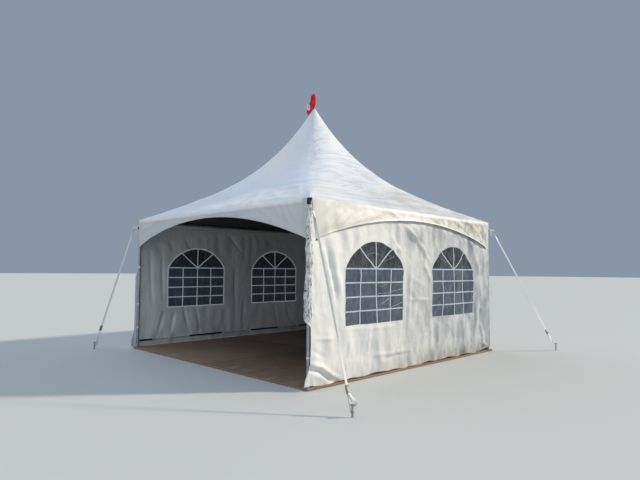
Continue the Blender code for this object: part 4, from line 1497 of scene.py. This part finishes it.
def twisted(bm, start, run, turn_at):
    """Twists a mesh about a strap's line, by the degrees that turn_at gives for each distance."""
    for vert in bm.verts:
        gone = (vert.co - start).dot(run)
        foot = start + run * gone
        turn = Matrix.Rotation(math.radians(turn_at(gone)), 3, run)
        vert.co = foot + turn @ (vert.co - foot)


def wrap_lug(bm, lug, run, side):
    """Webbing folded over a corner's outer lug and wound round its arm, with a short end."""
    tube(bm, ring_path(lug + run * 0.018, run, side, 0.02, 24, 0.75), 0.0062, 8, closed=True)
    out = Vector((side.y, -side.x, 0)).normalized()
    if out.dot(Vector((run.x, run.y, 0))) < 0:
        out.negate()
    over = [(-0.06, 0.006), (0, 0.0064), (0.018, 0.006), (0.0235, 0.003)]
    over += [(x, -y) for x, y in reversed(over)]
    strap(bm, [lug + out * x + side * y for x, y in over], 0.044, UP)
    wound = [(0.0082, -0.021), (0.0082, 0.021), (0.003, 0.025), (-0.003, 0.025)]
    wound += [(-x, -z) for x, z in wound] + wound[:1]
    for place, tilt in ((-0.03, 0.06), (-0.052, -0.1)):
        strap(bm, [lug + out * (place + z * tilt) + side * x + UP * z for x, z in wound], 0.026, out)
    ends = [lug - out * back + side * beside - UP * drop for back, beside, drop in (
        (0.036, 0.009, -0.018), (0.034, 0.014, 0.03), (0.03, 0.011, 0.075),
        (0.022, 0.016, 0.12))]
    strap(bm, smooth_path(ends, 6), 0.026, out)


def build_guy(corner):
    """One guy: strap with sewn eyes and a loose tail, and its ring and tensioner."""
    stake, lug, low, run, side, face = guy_line(corner)
    bm = bmesh.new()
    metal = bmesh.new()
    thread = bmesh.new()
    eye = lug + run * 0.04
    total = (low - lug).length
    reach = total - GUY_TENSIONERS[corner]
    top, middle, bottom = GUY_TURNS[corner]

    def turn_at(gone):
        if gone < reach:
            return (top * smooth_step(0.05, 0.18, gone)
                    + (middle - top) * smooth_step(0.35, 0.6 * reach, gone)
                    + (bottom - middle) * smooth_step(0.6 * reach, reach - 0.06, gone))
        return bottom * (1 - smooth_step(reach + 0.06, total - 0.05, gone))

    strap(bm, loop_path(eye, run, face, 0.17, 0.0058), STRAP_WIDTH, side)
    stitches(thread, eye + run * 0.135, run, side, face, 0.05, 0.024)
    wave = [lug + run * s + face * (0.004 * math.sin(math.pi * (s - 0.1) / (reach - 0.1)))
            for s in (0.15 + (reach - 0.17) * step / 60 for step in range(61))]
    strap(bm, wave, STRAP_WIDTH, side)
    buckle = lug + run * reach
    hook = low - run * 0.004
    lower = loop_path(hook - run * 0.02, -run, face, total - reach - 0.045, 0.005)
    strap(bm, spaced(lower, 0.02), STRAP_WIDTH - 0.002, side)
    spread = [buckle + run * (0.01 + 0.02 * step) + face * (0.0042 + 0.01 * math.sin(
        math.pi * step / 12)) for step in range(13)]
    strap(bm, spread, STRAP_WIDTH - 0.001, side)
    tail = smooth_path([buckle + run * a + side * b + face * c for a, b, c in GUY_TAILS[corner]])
    count = len(tail) - 1

    def tail_side(index):
        turn = Matrix.Rotation(0.9 * (index / count) ** 2, 3, run)
        return (turn @ side).normalized()

    strap(bm, tail, STRAP_WIDTH - 0.001, tail_side)
    stitches(thread, hook - run * 0.06, run, side, face, 0.034, 0.022)
    base = placed(buckle, side, face, run)
    half = STRAP_WIDTH / 2 + 0.0035
    for sign in (-1, 1):
        block(metal, (sign * half - 0.0013, -0.009, -0.048), (sign * half + 0.0013, 0.012, 0.048),
              0.0009, base)
    for place, lift, radius in ((-0.04, 0.004, 0.0042), (0.004, 0.006, 0.0065), (0.04, -0.001, 0.0042)):
        ends = [base @ Vector((x, lift, place)) for x in (-half, 0, half)]
        tube(metal, ends, radius, 12)
    lever = base @ Matrix.Translation((0, 0.0125, -0.004)) @ Matrix.Rotation(-0.11, 4, "X")
    for back, low_end, high_end in ((-0.0012, -0.046, 0.04), (-0.0045, -0.05, -0.046)):
        block(metal, (0.003 - half, back, low_end), (half - 0.003, 0.0012, high_end), 0.0008, lever)
    for mesh in (bm, metal, thread):
        twisted(mesh, lug, run, turn_at)
    wrap_lug(bm, lug, run, side)
    ring_centre = Vector((stake.x, stake.y, low.z + 0.004))
    level = Vector((run.x, run.y, 0)).normalized()
    tilt = (level * 0.92 + Vector((0, 0, -0.39))).normalized()
    tube(metal, ring_path(ring_centre - tilt * 0.006, tilt, side, 0.0225, 24, 0.86), 0.0034, 8,
         closed=True)
    add_piece(f"guy_webbing_{corner}", bm, ["webbing"], [f"guy_strap_{corner}"],
              thickness=0.0024, offset=0)
    add_piece(f"guy_tensioner_{corner}", metal, ["buckle"], sharp_angle=35)
    add_piece(f"guy_stitching_{corner}", thread, ["cord"], sharp_angle=60)


class TENT_OT_guys(bpy.types.Operator):
    """Add the four guy straps, with their rings, tensioners and loose tails"""

    bl_idname = "tent.add_guys"
    bl_label = "Guy Straps"

    def execute(self, context):
        for corner in CORNERS:
            build_guy(corner)
        return {"FINISHED"}


# Flag


# The hanging bunch's right and left reach from the rod, by its drop from the rod's top
FLAG_RIGHT = [(0.02, -0.004), (0.05, -0.022), (0.086, -0.032), (0.246, -0.036), (0.286, -0.026),
              (0.315, -0.004), (0.35, 0.016), (0.4, 0.048), (0.44, 0.078), (0.48, 0.104)]
FLAG_LEFT = [(0.02, 0.024), (0.036, 0.05), (0.086, 0.068), (0.166, 0.078), (0.235, 0.096),
             (0.262, 0.14), (0.3, 0.152), (0.42, 0.152), (0.45, 0.136), (0.48, 0.116)]
# Its upper and lower ends, from -1 at its right edge over 0 at the rod to 1 at its left edge
FLAG_TOPS = [(-1, 0.06), (-0.4, 0.028), (0, 0.02), (0.5, 0.026), (1, 0.07)]
FLAG_ENDS = [(-1, 0.385), (-0.4, 0.425), (0, 0.455), (0.4, 0.478), (0.7, 0.47), (1, 0.425)]
# The folded cloth seen from above, from its hoist on: that same place and the depth in metres
FLAG_PLEATS = [(0, -0.011), (-0.6, -0.017), (-1, -0.004), (-0.85, 0.014), (-0.35, 0.02),
               (0.05, 0.013), (0.3, 0.024), (0.22, 0.036), (0.46, 0.034), (0.6, 0.016),
               (0.44, 0), (0.58, -0.016), (0.8, -0.006), (0.72, 0.018), (0.9, 0.026),
               (1, 0.006), (0.86, -0.016), (0.55, -0.024)]


def along_edge(edge, reach):
    """An edge's drop at a reach, on straight lines between its points."""
    for (low, start), (high, end) in zip(edge, edge[1:]):
        if reach <= high:
            return start + (end - start) * max(reach - low, 0) / (high - low)
    return edge[-1][1]


def build_flag():
    """A limp flag: one cloth that hangs in deep pleats round the rod and lies on the canopy."""
    bm = bmesh.new()
    pleats = smooth_path([Vector((*point, 0)) for point in FLAG_PLEATS], 7)

    def place(u, v):
        spot = pleats[round(u * (len(pleats) - 1))]
        top, bottom = along_edge(FLAG_TOPS, spot.x), along_edge(FLAG_ENDS, spot.x)
        drop = top + (bottom - top) * v
        right, left = along_edge(FLAG_RIGHT, drop), along_edge(FLAG_LEFT, drop)
        reach = spot.x * (left if spot.x > 0 else -right)
        leaning = right + (spot.x + 1) / 2 * (left - right)
        reach += (leaning - reach) * smooth_step(0.24, 0.36, drop)
        reach += crumple(u * 3, v, 92, 3) * 0.01
        depth = spot.y * (1 + 0.25 * math.sin(3 * v + 6 * u))
        depth += crumple(u * 2, v, 91, 4) * 0.012 * v
        depth *= 0.55 + 0.45 * smooth_step(0, 0.25, v)
        round_rod = ROD_RADIUS + 0.003
        away = max(math.hypot(reach, depth), 1e-5)
        if away < round_rod:
            reach, depth = reach * round_rod / away, depth * round_rod / away
        lowest = roof_height(math.hypot(reach, depth) / (HALF * math.sqrt(2))) + 0.006
        return Vector((reach, depth, max(ROD_TOP - drop, lowest)))

    made = mapped_grid(bm, len(pleats) - 1, 44, place, lambda u, v: (u * 0.45, v * 0.36))
    for face in bm.faces:
        middle = face.calc_center_median()
        white = middle.x > 0.09 and 0.255 < ROD_TOP - middle.z < 0.375
        face.material_index = 1 if white else 0
    turned_points(bm, made, FLAG_TURN)
    flag = add_piece("flag_hanging", bm, ["flag", "flag_band"], ["flag"],
                     thickness=0.0012, offset=0)
    bm = bmesh.new()
    for drop in (0.03, 0.25):
        centre = Vector((0, 0, ROD_TOP - drop))
        path = ring_path(centre, Vector((1, 0, 0)), Vector((0, 1, 0)), ROD_RADIUS + 0.0016, 20)
        tube(bm, path, 0.0013, 6, closed=True)
    lathe(bm, [(0, ROD_TOP - 0.0005), (0.0055, ROD_TOP - 0.0015), (0.0088, ROD_TOP - 0.006),
               (0.0088, ROD_TOP - 0.014), (0.0081, ROD_TOP - 0.015)], 20)
    ties = add_piece("flag_ties", bm, ["cord"], sharp_angle=50)


class TENT_OT_flag(bpy.types.Operator):
    """Add the limp flag and its ties"""

    bl_idname = "tent.add_flag"
    bl_label = "Flag"

    def execute(self, context):
        build_flag()
        return {"FINISHED"}


# Floor boards


BOARD_COLUMNS = 4
BOARD_ROWS = 2


def build_boards():
    """Eight film-faced plywood boards with raw edges, on thin battens."""
    gap = bpy.context.scene.tent_fittings.board_gap
    draw = random.Random("boards")
    bm = bmesh.new()
    tone = bm.verts.layers.float.new("tone")
    layer = bm.loops.layers.uv.verify()
    width, length = 2 * DECK_HALF / BOARD_COLUMNS, 2 * DECK_HALF / BOARD_ROWS
    for column in range(BOARD_COLUMNS):
        for row in range(BOARD_ROWS):
            low = (-DECK_HALF + column * width, -DECK_HALF + row * length)
            inset = [gap / 2 if edge else 0 for edge in (
                column > 0, row > 0, column < BOARD_COLUMNS - 1, row < BOARD_ROWS - 1)]
            sunk = draw.uniform(0, 0.0012)
            made = block(bm, (low[0] + inset[0], low[1] + inset[1], 0.008),
                         (low[0] + width - inset[2], low[1] + length - inset[3],
                          DECK_THICKNESS - sunk), 0.0015)
            shade, shift = draw.random(), (draw.uniform(0, 9), draw.uniform(0, 9))
            for vert in made:
                vert[tone] = shade
                for loop in vert.link_loops:
                    loop[layer].uv = (vert.co.y + shift[0], vert.co.x + shift[1])
    end = DECK_HALF - 0.01
    for place in (-DECK_HALF + 0.05, -DECK_HALF / 2, 0, DECK_HALF / 2, DECK_HALF - 0.05):
        block(bm, (place - 0.035, -end, 0), (place + 0.035, end, 0.0095))
    for face in bm.faces:
        face.material_index = 0 if face.normal.z > 0.5 else 1
    add_piece("floor_boards", bm, ["board", "board_edge"], ["floor_deck"], sharp_angle=35)
    bm = bmesh.new()
    for column in range(BOARD_COLUMNS):
        for row in range(BOARD_ROWS):
            low = (-DECK_HALF + column * width, -DECK_HALF + row * length)
            for x in (0.05, width / 2, width - 0.05):
                for y in (0.06, length / 2, length - 0.06):
                    screw = Matrix.Translation((low[0] + x, low[1] + y, DECK_THICKNESS - 0.0016))
                    lathe(bm, [(0, 0.0008), (0.0022, 0.0008), (0.003, 0.0018),
                               (0.005, 0.002), (0.0054, 0.0008)], 8, screw)
    add_piece("floor_screws", bm, ["galvanised"], sharp_angle=35)


class TENT_OT_boards(bpy.types.Operator):
    """Add the floor boards, battens and screws"""

    bl_idname = "tent.add_boards"
    bl_label = "Floor Boards"

    def execute(self, context):
        build_boards()
        return {"FINISHED"}


# Frame finishes and fittings


NODE_FINISHES = {"leg": "aluminium", "eave_beam": "aluminium", "mast": "aluminium",
                 "finial_rod": "aluminium", "corner_fitting": "black", "cable": "galvanised",
                 "stake": "galvanised"}


def hex_head(bm, place, out, radius, height):
    """A hexagon bolt head on a washer."""
    base = facing(place, out)
    lathe(bm, [(0, 0), (radius * 1.45, 0), (radius * 1.45, 0.0012), (0, 0.0012)], 16, base)
    lathe(bm, [(radius, 0.001), (radius, height * 0.85), (radius * 0.88, height), (0, height)], 6, base)


def build_bolts():
    """Bolts of the corner fittings, the foot plates and the mast's flange."""
    bm = bmesh.new()
    for corner in CORNERS:
        ground = corner_point(corner)
        inner = -ground.normalized()
        for height in (2.36, 2.458):
            for out in (inner, Vector((-inner.y, inner.x, 0)), Vector((inner.y, -inner.x, 0))):
                hex_head(bm, ground + UP * height + out * 0.03, out, 0.0065, 0.005)
        for x in (-0.044, 0.044):
            for y in (-0.044, 0.044):
                hex_head(bm, (ground.x + x, ground.y + y, FOOT_TOP), (0, 0, 1), 0.0068, 0.0055)
        for reach in (0.06, 0.13):
            for axis in (0, 1):
                spot = ground + UP * (BEAM_HEIGHT - 0.035)
                spot[axis] += math.copysign(reach, -ground[axis])
                hex_head(bm, spot, (0, 0, -1), 0.0065, 0.005)
    for step in range(8):
        angle = math.radians(22.5 + 45 * step)
        spot = (math.cos(angle) * 0.055, math.sin(angle) * 0.055, MAST_FOOT_HEIGHT)
        hex_head(bm, spot, (0, 0, -1), 0.0065, 0.005)
    add_piece("frame_bolts", bm, ["galvanised"], sharp_angle=35)


def build_cable_ends():
    """Shackles at the inner lugs, and turnbuckles and thimbles on the cables."""
    bm = bmesh.new()
    for corner in CORNERS:
        inner = -corner_point(corner).normalized()
        lug = corner_point(corner) + inner * CABLE_LUG_LENGTH
        lug.z = LUG_HEIGHT
        rim = -inner * (MAST_FLANGE_RADIUS + 2 * GAP)
        rim.z = MAST_FOOT_HEIGHT + MAST_FLANGE_THICKNESS / 2
        run = (rim - lug).normalized()
        side = run.cross(UP).normalized()
        up = side.cross(run)
        tube(bm, ring_path(lug + run * 0.017, run, side, 0.0215, 24, 0.7), 0.0032, 8, closed=True)
        base = placed(lug + run * 0.06, side, up, run)
        lathe(bm, [(0, 0), (0.006, 0), (0.0075, 0.004), (0.0075, 0.022), (0, 0.022)], 12, base)
        lathe(bm, [(0, 0.118), (0.0075, 0.118), (0.0075, 0.136), (0.006, 0.14), (0, 0.14)], 12, base)
        for x in (-0.0085, 0.0085):
            tube(bm, [base @ Vector((x, 0, z)) for z in (0.01, 0.07, 0.13)], 0.0028, 8)
        for place in (0.205, 0.232):
            block(bm, (-0.01, -0.0075, -0.006), (0.01, 0.0075, 0.006), 0.0015,
                  placed(lug + run * place, side, up, run))
        lathe(bm, [(0.0052, -0.045), (0.0085, -0.043), (0.0085, 0.01), (0.0052, 0.016)], 12,
              placed(rim - run * 0.03, side, up, run))
    add_piece("cable_ends", bm, ["galvanised"], sharp_angle=35)


def build_ties():
    """Straps and buckles that hold the walls' edges to the legs."""
    webs, metal = bmesh.new(), bmesh.new()
    # A buckle's four sides and its bar, each as x, y and z from low to high
    buckle = [((-0.017, 0.017), (-0.014, -0.01), (-0.001, 0.003)),
              ((-0.017, 0.017), (0.01, 0.014), (-0.001, 0.003)),
              ((-0.017, -0.013), (-0.014, 0.014), (-0.001, 0.003)),
              ((0.013, 0.017), (-0.014, 0.014), (-0.001, 0.003)),
              ((-0.0015, 0.0015), (-0.014, 0.014), (0.001, 0.004))]
    for corner in CORNERS:
        ground = corner_point(corner)
        inner = -ground.normalized()
        beside = Vector((-inner.y, inner.x, 0))
        for height in (0.42, 0.88, 1.62) if corner.startswith("front") else (0.5, 1.1, 1.7):
            centre = ground + UP * height
            strap(webs, ring_path(centre, inner, beside, LEG_RADIUS + 0.0022, 28), 0.024, UP)
            tail = [centre + inner * (LEG_RADIUS + out) + beside * aside - UP * drop
                    for out, aside, drop in ((0.004, 0.006, 0), (0.011, 0.01, 0.045),
                                             (0.006, 0.016, 0.105))]
            strap(webs, smooth_path(tail, 8), 0.022, beside)
            spot = facing(centre + inner * (LEG_RADIUS + 0.0048), inner)
            for sides in buckle:
                block(metal, *zip(*sides), 0.0006, spot)
    # A strap across the front left leg, and a loose end outside the back right one
    strap(webs, smooth_path([(-2.476, -2.572, 1.552), (-2.44, -2.5, 1.58),
                             (-2.424, -2.455, 1.606), (-2.44, -2.395, 1.64),
                             (-2.47, -2.365, 1.662)], 8), 0.03, UP)
    strap(webs, smooth_path([(2.503, 2.47, 1.33), (2.512, 2.506, 1.26),
                             (2.508, 2.53, 1.16), (2.516, 2.534, 1.07)], 8), 0.028, Vector((0.6, -0.8, 0)))
    add_piece("wall_ties", webs, ["webbing"], thickness=0.0016, offset=0)
    add_piece("wall_tie_buckles", metal, ["buckle"], sharp_angle=35)


def build_eyelets():
    """Eyelets along the right wall's front edge, with dark toggles and knotted lacing cord."""
    rings, cords = bmesh.new(), bmesh.new()
    spots = [(-FRAME_HALF - 0.07, 1.99), (-2.353, 1.985), (-FRAME_HALF - 0.086, 1.3),
             (-FRAME_HALF - 0.088, 1.62), (-FRAME_HALF - 0.086, 1.02)]
    for number, (along, height) in enumerate(spots):
        here = wall_point("right", along, height, 0.0008)
        ahead = wall_point("right", along + 0.006, height, 0.0008) - here
        above = wall_point("right", along, height + 0.006, 0.0008) - here
        out = ahead.cross(above).normalized()
        lathe(rings, [(0.0055, -0.001), (0.0058, 0.0012), (0.0082, 0.0018), (0.0112, 0.0004)],
              18, facing(here, out))
        lathe(rings, [(0, 0.0002), (0.0056, 0.0002)], 18, facing(here, out), 1)
        if number < 3:
            knot = [here + out * x + ahead * y - above * z for x, y, z in (
                (0.004, 0, 0), (0.01, 1, 0), (0.008, 1.6, 2), (0.005, 0.8, 4.6))]
            tube(cords, smooth_path(knot, 6), 0.0028, 7)
            toggle = [here + out * 0.009 + ahead * x + above * x * 0.4 for x in (-3, 0, 3)]
            tube(rings, toggle, 0.0085, 10, surface=1)
    turned_points(rings, rings.verts, SIDES["right"])
    add_piece("wall_eyelets", rings, ["eyelet", "black"], sharp_angle=40)
    add_piece("wall_lacing", cords, ["cord"], sharp_angle=60)


class TENT_OT_fittings(bpy.types.Operator):
    """Finish the frame's metal, and add bolts, cable ends, ties and eyelets"""

    bl_idname = "tent.add_fittings"
    bl_label = "Frame Fittings"

    def execute(self, context):
        for name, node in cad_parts.items():
            for start, finish in NODE_FINISHES.items():
                if name.startswith(start):
                    node.data.materials.clear()
                    node.data.materials.append(finish_named(finish))
        build_bolts()
        build_cable_ends()
        build_ties()
        build_eyelets()
        return {"FINISHED"}


# Stage


CAMERA_PLACE = (7.456, -7.224, 1.581)
CAMERA_YAW = -45.162
CAMERA_PITCH = 3.283
CAMERA_ROLL = 0.404
CAMERA_LENS = 29.14


def build_camera():
    """The camera at the photograph's viewpoint."""
    yaw, pitch, roll = (math.radians(a) for a in (CAMERA_YAW, CAMERA_PITCH, CAMERA_ROLL))
    ahead = Vector((math.sin(yaw) * math.cos(pitch), math.cos(yaw) * math.cos(pitch), math.sin(pitch)))
    right = Vector((math.cos(yaw), -math.sin(yaw), 0))
    up = right.cross(ahead)
    side = right * math.cos(roll) + up * math.sin(roll)
    top = up * math.cos(roll) - right * math.sin(roll)
    data = bpy.data.cameras.new("photo_view")
    data.sensor_fit = "HORIZONTAL"
    data.sensor_width = 36
    data.lens = CAMERA_LENS
    data.clip_end = 400
    camera = bpy.data.objects.new("photo_view", data)
    camera.matrix_world = placed(CAMERA_PLACE, side, top, -ahead)
    bpy.context.scene.collection.objects.link(camera)
    bpy.context.scene.camera = camera


class TENT_OT_stage(bpy.types.Operator):
    """Add the plain floor, the soft light and the camera"""

    bl_idname = "tent.add_stage"
    bl_label = "Stage"

    def execute(self, context):
        settings = context.scene.tent_stage
        build_camera()
        bm = bmesh.new()
        bmesh.ops.create_circle(bm, cap_ends=True, segments=96, radius=160)
        mesh = bpy.data.meshes.new("floor")
        bm.to_mesh(mesh)
        bm.free()
        floor = bpy.data.objects.new("floor", mesh)
        context.scene.collection.objects.link(floor)
        paint = Paint("plain floor", Roughness=0.9, Base_Color=settings.floor_colour)
        mesh.materials.append(paint.material)
        for name, strength, colour, spread, out in (
                ("main_light", settings.sun_strength, settings.sun_colour, 4, (0.54, 0.69, 0.48)),
                ("top_light", settings.top_strength, settings.fill_colour, 60, (-0.66, -0.1, 0.75)),
                ("front_light", settings.fill_strength, settings.fill_colour, 75, (0.5, -0.58, 0.64))):
            light = bpy.data.lights.new(name, "SUN")
            light.energy = strength
            light.color = colour
            light.angle = math.radians(spread)
            lamp = bpy.data.objects.new(name, light)
            lamp.matrix_world = facing((0, 0, 8), out)
            context.scene.collection.objects.link(lamp)
        world = bpy.data.worlds.new("soft_sky")
        world.use_nodes = True
        background = world.node_tree.nodes["Background"]
        background.inputs["Color"].default_value = (*settings.sky_colour, 1)
        background.inputs["Strength"].default_value = settings.sky_strength
        context.scene.world = world
        context.scene.view_settings.view_transform = "Standard"
        return {"FINISHED"}


# Add-on


class TENT_PT_panel(bpy.types.Panel):
    """Lists the tent's pieces"""

    bl_idname = "TENT_PT_panel"
    bl_label = "Marquee Tent"
    bl_space_type = "VIEW_3D"
    bl_region_type = "UI"
    bl_category = "Tent"

    def draw(self, context):
        for operator in OPERATORS:
            self.layout.operator(operator.bl_idname)
        for name, group in SETTINGS.items():
            for setting in group.__annotations__:
                self.layout.prop(getattr(context.scene, name), setting)


SETTINGS = {
    "tent_cloth": TentClothSettings,
    "tent_windows": TentWindowSettings,
    "tent_fittings": TentFittingSettings,
    "tent_stage": TentStageSettings,
}
OPERATORS = (TENT_OT_canopy, TENT_OT_walls, TENT_OT_guys, TENT_OT_flag, TENT_OT_boards,
             TENT_OT_fittings, TENT_OT_stage)
CLASSES = (*SETTINGS.values(), *OPERATORS, TENT_PT_panel)


def register():
    """Registers the settings, operators and panel."""
    for each in CLASSES:
        bpy.utils.register_class(each)
    for name, group in SETTINGS.items():
        setattr(bpy.types.Scene, name, bpy.props.PointerProperty(type=group))


def unregister():
    """Removes the panel, operators and settings again."""
    for name in SETTINGS:
        delattr(bpy.types.Scene, name)
    for each in reversed(CLASSES):
        bpy.utils.unregister_class(each)


def main():
    """Adds every piece in order."""
    register()
    bpy.ops.tent.add_canopy()
    bpy.ops.tent.add_walls()
    bpy.ops.tent.add_guys()
    bpy.ops.tent.add_flag()
    bpy.ops.tent.add_boards()
    bpy.ops.tent.add_fittings()
    bpy.ops.tent.add_stage()


if __name__ == "__main__":
    main()
